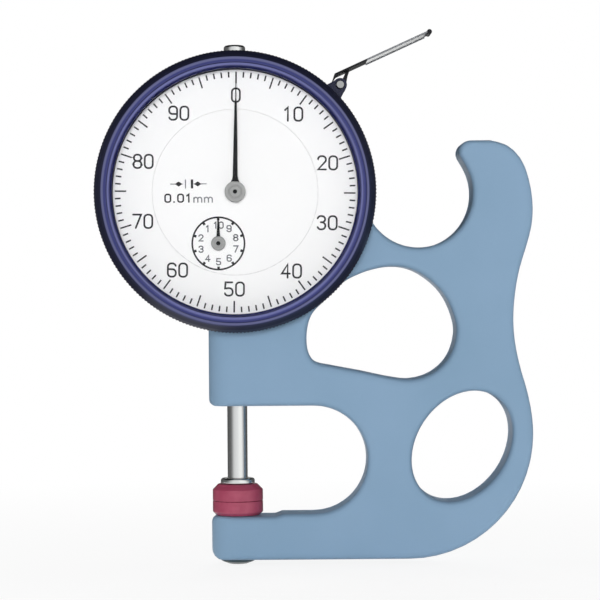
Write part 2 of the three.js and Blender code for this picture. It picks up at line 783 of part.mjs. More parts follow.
function makeCase() {
  const shell = turned([
    [webWindowRadius, caseFront],
    [rimRadius, caseFront],
    [rimRadius, rimBack],
    [caseRadius, rimBack],
    [caseRadius, caseBack],
    [caseInner, caseBack],
    [caseInner, caseFront + webThickness],
    [webWindowRadius, caseFront + webThickness],
  ], dialFacets);
  const bosses = bossAnglesDegrees.map((degrees) => {
    const [x, z] = onCircle(bossPlaceRadius, degrees);
    return rodY(bossRadius, bossFront, caseBack, x, z);
  });
  const bossBores = bossAnglesDegrees.map((degrees) => {
    const [x, z] = onCircle(bossPlaceRadius, degrees);
    return rodY(bossBoreRadius, bossFront - overrun, caseBack + overrun, x, z);
  });
  const earFront = lugCentreY - lugSpan / 2;
  const ears = join(lugEar(earFront), lugEar(earFront + lugSpan - lugEarThickness));
  const earBack = earFront + lugSpan;
  const pinBore = rodY(pinRadius + runningGap, earFront - overrun, earBack + overrun, pivotX, pivotRise);
  const outside = caseRadius + overrun;
  const stemHole = rodZ(stemRadius + runningGap, -outside, -caseInner / 2, spindleFacets);
  const bushHole = rodZ(bushRadius + runningGap, caseInner / 2, outside, spindleFacets);
  const [arborX, arborZ] = [counterX, -counterDrop];
  const counterHole = rodY(arborRadius + looseGap, caseFront - overrun, 0, arborX, arborZ);
  const inside = turned([
    [0, caseFront + webThickness],
    [caseInner, caseFront + webThickness],
    [caseInner, caseBack + overrun],
    [0, caseBack + overrun],
  ], dialFacets);
  const whole = join(shell, ...bosses, cut(ears, inside));
  return cut(whole, ...bossBores, pinBore, stemHole, bushHole, counterHole, leverSlot());
}

place('case', makeCase(), darkCase, dialGroup);

// Upper bush: guides the spindle where it leaves the case
place('upper_bush', cut(
  rodZ(bushRadius, bushBottom, caseRadius + bushRise, spindleFacets),
  rodZ(spindleRadius + runningGap, 0, caseRadius + bushRise + overrun, spindleFacets),
), steel, dialGroup);

// Back cover and its four countersunk screws
function coverPlaces() {
  return bossAnglesDegrees.map((degrees) => onCircle(bossPlaceRadius, degrees));
}

function countersunk(radius, depth, shank, back, grow) {
  return [
    [0, back - depth - overrun],
    [shank + grow, back - depth - overrun],
    [shank + grow, back - depth],
    [radius + grow, back],
  ];
}

place('back_cover', cut(
  turned([
    [0, coverFront],
    [coverRadius, coverFront],
    [coverRadius, coverBack - coverChamfer],
    [coverRadius - coverChamfer, coverBack],
    [0, coverBack],
  ], dialFacets),
  ...coverPlaces().map(([x, z]) => turned([
    ...countersunk(coverScrewHeadRadius, coverScrewHeadDepth, coverScrewShankRadius, coverBack, runningGap),
    [coverScrewHeadRadius + runningGap, coverBack + overrun],
    [0, coverBack + overrun],
  ], smallFacets).translate(x, 0, z)),
), darkCase, dialGroup);

coverPlaces().forEach(([x, z], number) => {
  const back = coverBack - seatGap;
  const wide = coverScrewHeadRadius + overrun;
  const half = coverSlotWidth / 2;
  const screw = turned([
    [0, back - coverScrewLength],
    [coverScrewShankRadius, back - coverScrewLength],
    [coverScrewShankRadius, back - coverScrewHeadDepth],
    [coverScrewHeadRadius, back],
    [0, back],
  ], smallFacets);
  const slot = block(-wide, wide, back - coverSlotDepth, back + overrun, -half, half);
  place(`cover_screw_${number + 1}`, cut(screw, slot), steel, dialGroup, x, z);
});

// Bezel: turned ring with two ridges round its face
const crystalBack = bezelLipFront + looseGap + crystalThickness;
place('bezel', turned([
  [bezelLipRadius, bezelLipFront - innerRidgeDepth],
  [innerRidgeRadius, bezelFront + innerRidgeDepth],
  [ridgeValleyRadius, bezelFront + ridgeValleyDepth],
  [outerRidgeRadius, bezelFront],
  [shoulderRadius, bezelFront + shoulderDepth],
  [bezelRadius, bezelFront + sideRoundDepth],
  [bezelRadius, bezelBack - bezelBackChamfer],
  [bezelRadius - bezelBackChamfer, bezelBack],
  [bezelSkirtRadius, bezelBack],
  [bezelSkirtRadius, wireGrooveY + wireGrooveWidth / 2],
  [wireGrooveRadius, wireGrooveY + wireGrooveWidth / 2],
  [wireGrooveRadius, wireGrooveY - wireGrooveWidth / 2],
  [bezelSkirtRadius, wireGrooveY - wireGrooveWidth / 2],
  [bezelSkirtRadius, caseFront - looseGap],
  [dialBoreRadius, dialBack - runningGap],
  [dialBoreRadius, crystalBack],
  [crystalRadius + crystalBoreGap, crystalBack],
  [crystalRadius + crystalBoreGap, bezelLipFront],
  [bezelLipRadius, bezelLipFront],
], dialFacets), blueAnodised, dialGroup);

// Sprung wire in the bezel's groove, open at one side
function splitWire() {
  const points = [];
  for (let step = 0; step <= wireSteps; step += 1) {
    const degrees = wireSplitDegrees / 2 + (360 - wireSplitDegrees) * step / wireSteps;
    const [x, z] = onCircle(wireCentreRadius, degrees);
    points.push(new THREE.Vector3(x, wireGrooveY, z));
  }
  return tube(points, wireRadius, wireSteps, springWireSides);
}

function tube(points, radius, steps, sides) {
  const section = new THREE.Shape();
  for (let side = 0; side < sides; side += 1) {
    const [x, y] = onCircle(radius, 360 * side / sides);
    if (side === 0) section.moveTo(x, y);
    else section.lineTo(x, y);
  }
  const extrudePath = new THREE.CatmullRomCurve3(points);
  return toSolid(new THREE.ExtrudeGeometry(section, { steps, extrudePath, bevelEnabled: false }));
}

place('bezel_wire', splitWire(), steel, dialGroup);

// Domed crystal under the bezel's lip
const crystalEdge = crystalBack - crystalThickness;
const crystalRim = bezelLipRadius - looseGap;
function domeProfile() {
  const points = [];
  for (let step = 0; step <= crystalDomeSteps; step += 1) {
    const share = 1 - step / crystalDomeSteps;
    points.push([crystalRim * share, crystalEdge - crystalDome * (1 - share * share)]);
  }
  return points;
}

place('crystal', turned([
  [0, crystalBack - seatGap],
  [crystalRadius, crystalBack - seatGap],
  [crystalRadius, crystalEdge],
  ...domeProfile(),
], dialFacets / 2), clearGlass, dialGroup);

// Dial: an outer ring that turns with the bezel round a fixed disc
place('dial_ring', turned([
  [discRadius + runningGap, dialFront],
  [dialOuterRadius, dialFront],
  [dialOuterRadius, dialBack],
  [discRadius + runningGap, dialBack],
], dialFacets), whiteEnamel, dialGroup);

place('centre_disc', cut(
  rodY(discRadius, dialFront, dialBack, 0, 0, dialFacets),
  rodY(discHoleRadius, dialFront - overrun, dialBack + overrun),
  rodY(discHoleRadius, dialFront - overrun, dialBack + overrun, counterX, -counterDrop),
), whiteEnamel, dialGroup);

// Hands on their bosses
function handShape() {
  const flareEnd = hubRadius + handFlareLength;
  return polygon([
    [-handFlareHalf, hubRadius / 2],
    [handFlareHalf, hubRadius / 2],
    [handFlareHalf, hubRadius],
    [handRootHalf, flareEnd],
    [handTipHalf, handLength],
    [-handTipHalf, handLength],
    [-handRootHalf, flareEnd],
    [-handFlareHalf, hubRadius],
  ]);
}

const handBack = handFront + handThickness;
const handBore = arborRadius + runningGap;
place('main_hand', cut(
  join(
    slab(handShape(), handFront, handBack),
    rodY(hubRadius - hubChamfer, handFront, handBack, 0, 0, spindleFacets),
  ),
  rodY(handBore, handFront - overrun, handBack + overrun),
), blackPaint, dialGroup);

const hubBack = handFront - seatGap;
place('main_hub', turned([
  [handBore, hubBack - handThickness],
  [hubRadius - hubChamfer, hubBack - handThickness],
  [hubRadius, hubBack - handThickness + hubChamfer],
  [hubRadius, hubBack],
  [handBore, hubBack],
], spindleFacets), greyMetal, dialGroup);

const counterHandBack = counterHandFront + counterHandThickness;
place('counter_hand', cut(
  join(
    slab(polygon([
      [-counterHandHalf, 0],
      [counterHandHalf, 0],
      [counterHandHalf, counterHandLength],
      [-counterHandHalf, counterHandLength],
    ]), counterHandFront, counterHandBack),
    rodY(counterHubRadius - hubChamfer, counterHandFront, counterHandBack, 0, 0, spindleFacets),
  ),
  rodY(handBore, counterHandFront - overrun, counterHandBack + overrun),
), blackPaint, dialGroup, counterX, -counterDrop);

const counterHubBack = counterHandFront - seatGap;
place('counter_hub', turned([
  [handBore, counterHubBack - counterHandThickness],
  [counterHubRadius - hubChamfer, counterHubBack - counterHandThickness],
  [counterHubRadius, counterHubBack - counterHandThickness + hubChamfer],
  [counterHubRadius, counterHubBack],
  [handBore, counterHubBack],
], spindleFacets), greyMetal, dialGroup, counterX, -counterDrop);

// Movement plates
function bearingHoles(front, back) {
  const radius = pivotRadius + runningGap;
  return [
    rodY(radius, front, back),
    rodY(radius, front, back, counterX, -counterDrop),
    rodY(radius, front, back, takeupX, takeupZ),
  ];
}

function pillarPlaces() {
  return pillarAnglesDegrees.map((degrees) => onCircle(pillarPlaceRadius, degrees));
}

function plateShape() {
  const shape = new THREE.Shape();
  shape.absarc(0, 0, plateRadius, 0, Math.PI * 2, false);
  return shape;
}

place('front_plate', cut(
  slab(plateShape(), frontPlateFront, frontPlateBack),
  ...bearingHoles(frontPlateFront - overrun, frontPlateBack + overrun),
), brass, dialGroup);

const screwHole = plateScrewRadius + runningGap;
const cockFootX = counterX - cockLeft + cockFootWidth / 2;
place('middle_plate', cut(
  slab(plateShape(), middlePlateFront, middlePlateBack),
  ...bearingHoles(middlePlateFront - overrun, middlePlateBack + overrun),
  ...pillarPlaces().map(([x, z]) => (
    rodY(screwHole, middlePlateFront - overrun, middlePlateBack + overrun, x, z)
  )),
  rodY(screwHole, middlePlateFront - overrun, middlePlateBack + overrun, cockFootX, -counterDrop),
), brass, dialGroup);

pillarPlaces().forEach(([x, z], number) => {
  place(`pillar_${number + 1}`, cut(
    rodY(pillarRadius, frontPlateBack + seatGap, middlePlateFront - seatGap),
    rodY(pillarBoreRadius, frontPlateBack - overrun, middlePlateFront + overrun),
  ), brass, dialGroup, x, z);
  const headFront = middlePlateBack + seatGap;
  place(`plate_screw_${number + 1}`, turned([
    [0, headFront + plateScrewHeadHeight - plateScrewLength],
    [plateScrewRadius, headFront + plateScrewHeadHeight - plateScrewLength],
    [plateScrewRadius, headFront],
    [plateScrewHeadRadius, headFront],
    [plateScrewHeadRadius, headFront + plateScrewHeadHeight],
    [0, headFront + plateScrewHeadHeight],
  ], smallFacets), steel, dialGroup, x, z);
});

// Rear cock: a bridge over the rack pinion's back end
const cockRear = cockFront + cockThickness;
const cockHalf = cockHalfHeight;
const footFront = middlePlateBack + seatGap;
place('rear_cock', cut(
  join(
    block(-cockLeft, -cockRight - counterX, cockFront, cockRear, -cockHalf, cockHalf),
    block(-cockLeft, cockFootWidth - cockLeft, footFront, cockRear, -cockHalf, cockHalf),
  ),
  rodY(pivotRadius + runningGap, cockFront - overrun, cockRear + overrun),
  rodY(screwHole, middlePlateFront, cockRear + overrun, cockFootWidth / 2 - cockLeft),
), brass, dialGroup, counterX, -counterDrop);

const cockBack = cockRear + seatGap;
place('cock_screw', turned([
  [0, middlePlateFront + looseGap],
  [plateScrewRadius, middlePlateFront + looseGap],
  [plateScrewRadius, cockBack],
  [cockScrewHeadRadius, cockBack],
  [cockScrewHeadRadius, cockBack + cockScrewHeadHeight],
  [0, cockBack + cockScrewHeadHeight],
], smallFacets), steel, dialGroup, cockFootX, -counterDrop);

// Arbors and wheels
function pinion(pitchRadius, teeth, front, back) {
  const tip = pitchRadius - toothRelief;
  return slab(toothed(tip, tip - toothHeight, teeth), front, back);
}

function spokedWheel() {
  const front = wheelY - wheelThickness / 2;
  const back = wheelY + wheelThickness / 2;
  const tip = wheelPitchRadius - toothRelief;
  const wheel = slab(toothed(tip, tip - toothHeight, wheelTeeth), front, back);
  const rimInner = tip - toothHeight - wheelRimWidth;
  const opening = turned([
    [wheelHubRadius, front - overrun],
    [rimInner, front - overrun],
    [rimInner, back + overrun],
    [wheelHubRadius, back + overrun],
  ], spindleFacets);
  const half = wheelSpokeWidth / 2;
  const spokes = [
    block(-rimInner - overrun, rimInner + overrun, front - overrun, back + overrun, -half, half),
    block(-half, half, front - overrun, back + overrun, -rimInner - overrun, rimInner + overrun),
  ];
  const bore = rodY(arborRadius + runningGap, front - overrun, back + overrun);
  return cut(wheel, cut(opening, ...spokes), bore);
}

place('rack_arbor', join(
  rodY(arborRadius, counterHubBack - counterHandThickness - seatGap, cockRear),
  pinion(pinionPitchRadius, rackPinionTeeth, -rackPinionFaceHalf, rackPinionFaceHalf),
), steel, dialGroup, counterX, -counterDrop);
place('counter_wheel', spokedWheel(), brass, dialGroup, counterX, -counterDrop);

place('centre_arbor', join(
  rodY(arborRadius, hubBack - handThickness - seatGap, middlePlateBack),
  pinion(centrePinionRadius, centrePinionTeeth, wheelY - centrePinionHalf, wheelY + centrePinionHalf),
), steel, dialGroup);

const takeupRod = rodY(arborRadius, frontPlateFront, middlePlateBack);
place('takeup_arbor', takeupRod, steel, dialGroup, takeupX, takeupZ);
place('takeup_wheel', spokedWheel(), brass, dialGroup, takeupX, takeupZ);

// Hairspring: a flat spiral strip from a collet on the take-up arbor to its stud
function hairspringSolid() {
  const outer = [];
  const inner = [];
  const steps = hairspringTurns * hairspringStepsPerTurn;
  for (let step = 0; step <= steps; step += 1) {
    const radius = hairspringInner + (hairspringOuter - hairspringInner) * step / steps;
    const degrees = 360 * step / hairspringStepsPerTurn;
    outer.push(onCircle(radius + hairspringStrip / 2, degrees));
    inner.push(onCircle(radius - hairspringStrip / 2, degrees));
  }
  const half = hairspringWidth / 2;
  return slab(polygon([...outer, ...inner.reverse()]), hairspringY - half, hairspringY + half);
}

place('hairspring', hairspringSolid(), blueSpring, dialGroup, takeupX, takeupZ);

const studLeft = hairspringOuter + hairspringStrip / 2 + runningGap;
const studFront = frontPlateBack + seatGap;
const studBack = hairspringY + hairspringWidth / 2;
const stud = block(studLeft, studLeft + studBlock, studFront, studBack, -studBlock / 2, studBlock / 2);
place('hairspring_stud', stud, steel, dialGroup, takeupX, takeupZ);

// Guide pin through the spindle, and the slotted plate that it slides in
place('guide_pin', rodY(guidePinRadius, 0, guidePinBack), steel, dialGroup, 0, guidePinRise);

const slotBottom = guidePinRise - guidePinRadius - guideSlotMargin;
const slotTop = caseInner + overrun;
const guideHalf = guidePlateWidth / 2;
const guideSlotHalf = guidePinRadius + guideSlotClear;
const slotFront = guidePlateFront - overrun;
const slotBack = guidePlateBack + overrun;
const guideBottom = slotBottom - guidePlateMargin;
place('guide_plate', cut(
  block(-guideHalf, guideHalf, guidePlateFront, guidePlateBack, guideBottom, caseInner),
  block(-guideSlotHalf, guideSlotHalf, slotFront, slotBack, slotBottom, slotTop),
).intersect(rodY(caseInner - looseGap, slotFront, slotBack, 0, 0, dialFacets)), steel, dialGroup);

// Pull spring between the guide pin and a post low in the case
const springTop = guidePinRise - guidePinRadius - looseGap;
const springBottom = -postDrop + postRadius + looseGap;
function measuringSpring() {
  const points = [];
  const steps = springTurns * springStepsPerTurn;
  const middle = springRadius - springWireRadius;
  for (let step = 0; step <= steps; step += 1) {
    const [x, y] = onCircle(middle, 360 * step / springStepsPerTurn);
    const z = springBottom + (springTop - springBottom) * step / steps;
    points.push(new THREE.Vector3(x, springCentreY + y, z));
  }
  return tube(points, springWireRadius, steps, springWireSides);
}

place('measuring_spring', measuringSpring(), steel, dialGroup);

place('spring_post', join(
  rodY(postRadius, postBaseFront, springCentreY + springRadius),
  rodY(postBaseRadius, postBaseFront, postBaseFront + plateThickness),
), steel, dialGroup, 0, -postDrop);

// Straight bar between two points of a plane, half as thick each way as given
function bar(from, to, half, front, back) {
  const along = new THREE.Vector2(to[0] - from[0], to[1] - from[1]).normalize();
  const side = [-along.y * half, along.x * half];
  return slab(polygon([
    [from[0] - side[0], from[1] - side[1]],
    [to[0] - side[0], to[1] - side[1]],
    [to[0] + side[0], to[1] + side[1]],
    [from[0] + side[0], from[1] + side[1]],
  ]), front, back);
}

// Lifting lever: a pressed strip with a rolled end, a hub on the pin and an inner arm
function leverSolid() {
  const tip = [leverReach, leverRise];
  const elbow = [leverElbowX, leverElbowRise];
  const leverBack = leverFront + leverWidth;
  const strip = bar(elbow, tip, leverThickness / 2, leverFront, leverBack);
  const roll = rodY(leverRollRadius, leverFront, leverBack, ...tip);
  const hubFront = lugCentreY - lugSpan / 2 + lugEarThickness + runningGap;
  const hubEnd = lugCentreY + lugSpan / 2 - lugEarThickness - runningGap;
  const hub = rodY(leverHubRadius, hubFront, hubEnd, 0, 0, spindleFacets);
  const neckTop = elbow.map((value, axis) => value + (tip[axis] - value) * leverNeckShare);
  const neck = slab(polygon([
    [-leverHubRadius, 0],
    [leverHubRadius, 0],
    neckTop,
    elbow,
  ]), hubFront, hubEnd);
  const below = [-pivotX, leverArmDrop - pivotRise];
  const end = below.map((value) => value * (1 + leverArmEnd / pivotX));
  const armBack = leverArmFront + leverArmThickness;
  const arm = bar([0, 0], end, leverArmHalf, leverArmFront, armBack);
  const bore = rodY(pinRadius + runningGap, leverFront - overrun, leverBack + overrun);
  return cut(join(strip, roll, hub, neck, arm), bore);
}

place('lifting_lever', leverSolid(), steel, dialGroup, pivotX, pivotRise);

const pinFront = lugCentreY - lugSpan / 2 - pinOverhang;
const pinBack = lugCentreY + lugSpan / 2 + pinOverhang;
place('lever_pin', rodY(pinRadius, pinFront, pinBack), steel, dialGroup, pivotX, pivotRise);

export default gauge;
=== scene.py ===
# %% [markdown]
# A dial thickness gauge: a blue enamelled bow with finger holes, a dial under a blue anodised ring,
# and a polished spindle that comes down on a red anvil.
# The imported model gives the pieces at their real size. This file gives them their finish and adds
# what is too fine for the model: printed scales, turned ridges, knurling and rolled edges.
# Blender works in metres. Every size below is written in millimetres and multiplied by MM.

# %% Load the frame
import math

import bmesh
import bpy
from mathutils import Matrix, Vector


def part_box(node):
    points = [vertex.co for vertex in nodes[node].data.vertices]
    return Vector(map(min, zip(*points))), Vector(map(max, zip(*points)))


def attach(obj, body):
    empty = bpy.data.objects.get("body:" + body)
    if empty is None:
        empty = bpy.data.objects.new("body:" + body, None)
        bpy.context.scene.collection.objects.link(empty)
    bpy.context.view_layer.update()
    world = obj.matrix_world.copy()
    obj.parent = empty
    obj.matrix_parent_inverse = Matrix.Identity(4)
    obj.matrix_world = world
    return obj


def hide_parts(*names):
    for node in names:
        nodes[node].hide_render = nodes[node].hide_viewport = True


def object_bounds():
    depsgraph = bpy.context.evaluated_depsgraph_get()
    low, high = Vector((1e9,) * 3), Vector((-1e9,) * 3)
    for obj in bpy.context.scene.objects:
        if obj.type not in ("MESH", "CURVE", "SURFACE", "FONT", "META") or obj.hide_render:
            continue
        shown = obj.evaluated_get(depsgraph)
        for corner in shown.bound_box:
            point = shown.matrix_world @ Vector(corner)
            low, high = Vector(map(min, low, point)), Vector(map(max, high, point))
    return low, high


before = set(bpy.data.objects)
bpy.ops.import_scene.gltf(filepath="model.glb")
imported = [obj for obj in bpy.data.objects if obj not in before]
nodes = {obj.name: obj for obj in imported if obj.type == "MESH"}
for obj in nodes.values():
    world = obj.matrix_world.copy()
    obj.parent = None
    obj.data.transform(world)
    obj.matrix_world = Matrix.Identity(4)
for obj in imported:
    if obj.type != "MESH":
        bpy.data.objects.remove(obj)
cad_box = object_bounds()
MM = 0.001
print("nodes", len(nodes), "box", [list(corner) for corner in cad_box])

# %% [markdown]
# Three helpers carry all the materials. Colours are picked as sRGB hex values, as on a paint card,
# while the shader wants linear light, so one function turns one into the other.
# The second adds a node with its settings and its links in one line, which keeps the node trees
# readable from left to right. The third starts a finish from one Principled shader.

# %% Colour and node helpers


def linear(hex_colour):
    parts = [int(hex_colour[place:place + 2], 16) / 255 for place in (1, 3, 5)]
    curve = [part / 12.92 if part <= 0.04045 else ((part + 0.055) / 1.055) ** 2.4 for part in parts]
    return (*curve, 1.0)


def add(tree, kind, inputs=None, **settings):
    made = tree.nodes.new(kind)
    for name, value in settings.items():
        setattr(made, name, value)
    for name, value in (inputs or {}).items():
        if isinstance(value, bpy.types.NodeSocket):
            tree.links.new(value, made.inputs[name])
        else:
            made.inputs[name].default_value = value
    return made


def new_finish(name, colour, **sockets):
    """A material with one Principled shader: its name, its base colour and its other sockets."""
    finish = bpy.data.materials.new(name)
    finish.use_nodes = True
    tree = finish.node_tree
    shader = tree.nodes["Principled BSDF"]
    shader.inputs["Base Color"].default_value = linear(colour)
    for socket, value in sockets.items():
        shader.inputs[socket.replace("_", " ")].default_value = value
    return finish, tree, shader


print("mid grey #808080 in linear light", round(linear("#808080")[0], 3))

# %% [markdown]
# The camera stands where the photographer's stood: square on to the dial, 0.45 m in front of the
# spindle, a hair to the right of it and level with the lowest number on the dial. A long lens keeps
# the ring round. The picture was cut with the dial left of its middle, which a small lens shift
# repeats. It leans by nearly half a degree, so the camera is rolled by as much.

# %% Camera
CAMERA_SIDE = 4.0 * MM
CAMERA_HEIGHT = -21.1 * MM
CAMERA_DISTANCE = 457.1 * MM
CAMERA_ROLL_DEGREES = 0.45
LENS_MM = 135
SENSOR_MM = 36
LENS_SHIFT = 0.0726
NEAREST = 10 * MM
FARTHEST = 100


def put_in_scene(name, data):
    """A new object made of a mesh, a lamp or a camera."""
    made = bpy.data.objects.new(name, data)
    bpy.context.scene.collection.objects.link(made)
    return made


camera = put_in_scene("camera", bpy.data.cameras.new("camera"))
camera.data.lens = LENS_MM
camera.data.sensor_width = SENSOR_MM
camera.data.shift_x = LENS_SHIFT
camera.data.clip_start = NEAREST
camera.data.clip_end = FARTHEST
camera.location = (CAMERA_SIDE, -CAMERA_DISTANCE, CAMERA_HEIGHT)
camera.rotation_euler = (math.radians(90), math.radians(CAMERA_ROLL_DEGREES), 0)
bpy.context.scene.camera = camera
bpy.context.scene.view_settings.view_transform = "Standard"
print("camera at", [round(value / MM, 1) for value in camera.location], "mm")

# %% [markdown]
# The gauge was shot as a cut-out on white. A floor that the lamps alone had to bring to white would
# clip the pale dial too, so the floor is made mostly of its own white for the rays that look at it
# and only a little of the light that falls on it. That little is enough to keep a faint shadow
# where the foot stands.

# %% Floor
FLOOR_HALF_WIDTH = 6.0
FLOOR_GAP = 0.02 * MM
SHADOW_SHARE = 0.16
SHADOW_REACH = 0.22
middle_of_gauge = (cad_box[0] + cad_box[1]) / 2


def sees_background(tree):
    """1 for rays from the camera, off polished metal or through glass, 0 for the light on things."""
    path = add(tree, "ShaderNodeLightPath")
    either = add(tree, "ShaderNodeMath", {0: path.outputs["Is Camera Ray"],
                                          1: path.outputs["Is Glossy Ray"]}, operation="MAXIMUM")
    glass = path.outputs["Is Transmission Ray"]
    return add(tree, "ShaderNodeMath", {0: either.outputs[0], 1: glass}, operation="MAXIMUM")


def make_floor():
    low = cad_box[0].z - FLOOR_GAP
    half = FLOOR_HALF_WIDTH
    mesh = bpy.data.meshes.new("floor")
    corners = [(-half, -half, low), (half, -half, low), (half, half, low), (-half, half, low)]
    mesh.from_pydata(corners, [], [(0, 1, 2, 3)])
    floor = put_in_scene("floor", mesh)
    paper, tree, shader = new_finish("White_seamless_paper", "#FFFFFF", Roughness=0.9)
    glow = add(tree, "ShaderNodeEmission", {"Color": (1, 1, 1, 1), "Strength": 1.0})
    place = add(tree, "ShaderNodeTexCoord").outputs["Object"]
    far = add(tree, "ShaderNodeVectorMath", {0: place, 1: middle_of_gauge}, operation="DISTANCE")
    plain = add(tree, "ShaderNodeMapRange", {"Value": far.outputs["Value"], "From Min": 0.0,
                                             "From Max": SHADOW_REACH, "To Min": 1 - SHADOW_SHARE,
                                             "To Max": 1.0})
    share = add(tree, "ShaderNodeMath", {0: sees_background(tree).outputs[0], 1: plain.outputs["Result"]},
                operation="MULTIPLY")
    mix = add(tree, "ShaderNodeMixShader", {0: share.outputs[0], 1: shader.outputs[0],
                                            2: glow.outputs[0]})
    tree.links.new(mix.outputs[0], tree.nodes["Material Output"].inputs["Surface"])
    mesh.materials.append(paper)


make_floor()
print("floor at", round((cad_box[0].z - FLOOR_GAP) / MM, 2), "mm")

# %% [markdown]
# The walls of the room are as white as the floor for the camera and for polished metal. The light they
# give is only a low, even fill.

# %% Room
ROOM_LEVEL = 0.12


def light_room():
    world = bpy.data.worlds.new("white_room")
    world.use_nodes = True
    bpy.context.scene.world = world
    tree = world.node_tree
    level = add(tree, "ShaderNodeMapRange", {"Value": sees_background(tree).outputs[0],
                                             "To Min": ROOM_LEVEL, "To Max": 1.0})
    tree.links.new(level.outputs["Result"], tree.nodes["Background"].inputs["Strength"])
    tree.nodes["Background"].inputs["Color"].default_value = (1, 1, 1, 1)


light_room()
print("room level", ROOM_LEVEL)

# %% [markdown]
# A soft box close to the camera's axis gives the flat, nearly shadowless light of a catalogue picture:
# faces that look at the camera are brightest and every edge that turns away goes darker. Weaker boxes
# at the sides and behind keep the other sides readable. They stand behind the dial's plane, so that the
# ring throws no shadow of theirs on the outer scale.
# The boxes are left out of reflections, where they would burn out.

# %% Soft boxes
SOFT_BOXES = [
    ("front_box", 20.0, 0.4, (-0.02, -1.5, 0.06)),
    ("left_box", 5.0, 0.8, (-1.3, 0.2, 0.45)),
    ("right_box", 5.0, 0.8, (1.3, 0.2, 0.45)),
    ("back_box", 15.0, 0.9, (0.2, 1.4, 0.5)),
]


def make_soft_box(name, watts, side, place):
    lamp = bpy.data.lights.new(name, "AREA")
    lamp.shape = "SQUARE"
    lamp.size = side
    lamp.energy = watts
    box = put_in_scene(name, lamp)
    box.location = place
    box.rotation_euler = (middle_of_gauge - box.location).to_track_quat("-Z", "Y").to_euler()
    box.visible_camera = False
    box.visible_glossy = False
    print(name, watts, "W")


for soft_box in SOFT_BOXES:
    make_soft_box(*soft_box)

# %% [markdown]
# Polished steel has no colour of its own and only shows what is round it. In an all white room it
# would vanish, so photographers bend grey paper round both sides, lay some on the table just outside
# the picture and hold a black sheet overhead. Only reflections see them here, so they draw the dark
# edges of the rod and take no light from the rest. The paper is light beside the camera and darker on
# its way round, which gives the rod its soft run from light to dark. The left one reaches round behind
# the camera, so the brightest streak sits right of the middle.

# %% Tones of the grey paper
PAPER_TONES = [
    (-180, 0.06), (-74, 0.13), (-62, 0.26), (-50, 0.5), (-34, 0.72), (16, 0.9), (48, 0.98), (64, 0.6),
    (80, 0.26), (98, 0.11), (180, 0.06),
]
PAPER_BLUE = 1.02


def fill_ramp(ramp, low, high, tones):
    """The stops of a colour ramp from (value, colour) pairs, whose values run from low to high."""
    stops = ramp.color_ramp.elements
    for number, (value, colour) in enumerate(tones):
        along = (value - low) / (high - low)
        stop = stops[number] if number < 2 else stops.new(along)
        stop.position = along
        stop.color = colour


def make_grey_paper():
    finish, tree, _ = new_finish("Graded_grey_paper", "#606062", Roughness=1.0)
    place = add(tree, "ShaderNodeSeparateXYZ", {0: add(tree, "ShaderNodeTexCoord").outputs["Object"]})
    ahead = add(tree, "ShaderNodeMath", {0: place.outputs["Y"], 1: -1.0}, operation="MULTIPLY")
    angle = add(tree, "ShaderNodeMath", {0: place.outputs["X"], 1: ahead.outputs[0]}, operation="ARCTAN2")
    share = add(tree, "ShaderNodeMapRange", {"Value": angle.outputs[0], "From Min": -math.pi,
                                             "From Max": math.pi})
    tones = add(tree, "ShaderNodeValToRGB", {"Fac": share.outputs["Result"]})
    fill_ramp(tones, -180, 180, [(degrees, (level, level, level * PAPER_BLUE, 1))
                                 for degrees, level in PAPER_TONES])
    glow = add(tree, "ShaderNodeEmission", {"Color": tones.outputs["Color"]})
    tree.links.new(glow.outputs[0], tree.nodes["Material Output"].inputs["Surface"])
    return finish


grey_paper = make_grey_paper()
print(grey_paper.name, len(PAPER_TONES), "tones")

# %% [markdown]
# Each paper is a bow of flat faces that stands round one side, with a strip of it flat on the table.
# Angles count from the camera's side, to the right as the reader sees it.

# %% Grey paper
LEFT_PAPER_DEGREES = (16, -168)
RIGHT_PAPER_DEGREES = (46, 168)
PAPER_NEAR = 0.07
PAPER_FAR = 0.9
PAPER_HEIGHT = 0.9
PAPER_STEPS = 12


def stand_up(name, finish, corners, faces):
    """A sheet that is seen by reflections alone."""
    mesh = bpy.data.meshes.new(name)
    mesh.from_pydata(corners, [], faces)
    mesh.materials.append(finish)
    sheet = put_in_scene(name, mesh)
    sheet.visible_camera = False
    sheet.visible_diffuse = False
    sheet.visible_shadow = False
    sheet.visible_transmission = False
    print(name, len(faces), "faces")


def bend_paper(name, start, end, paper):
    """Paper in a bow round one side of the gauge, with more of it on the table."""
    low = cad_box[0].z
    corners = []
    for step in range(PAPER_STEPS + 1):
        angle = math.radians(start + (end - start) * step / PAPER_STEPS)
        across = math.sin(angle)
        along = -math.cos(angle)
        corners += [(across * PAPER_NEAR, along * PAPER_NEAR, low),
                    (across * PAPER_FAR, along * PAPER_FAR, low),
                    (across * PAPER_FAR, along * PAPER_FAR, low + PAPER_HEIGHT)]
    faces = []
    for step in range(PAPER_STEPS):
        here = 3 * step
        faces += [(here, here + 1, here + 4, here + 3), (here + 1, here + 2, here + 5, here + 4)]
    stand_up(name, paper, corners, faces)


bend_paper("left_paper", *LEFT_PAPER_DEGREES, grey_paper)
bend_paper("right_paper", *RIGHT_PAPER_DEGREES, grey_paper)

# %% [markdown]
# The black sheet is what edges mirror when they are seen almost along their surface. It lies overhead
# and hangs down at the back to a hand's breadth above the table: what it leaves open there is what
# the underside of the lever mirrors. Its line is given by (y, z) places from the front to the hem.

# %% Black sheet
SHEET_LINE = [(-0.35, 0.45), (0.9, 0.45), (0.9, 0.022)]
SHEET_HALF_WIDTH = 0.9
SHEET_TONE = 0.02


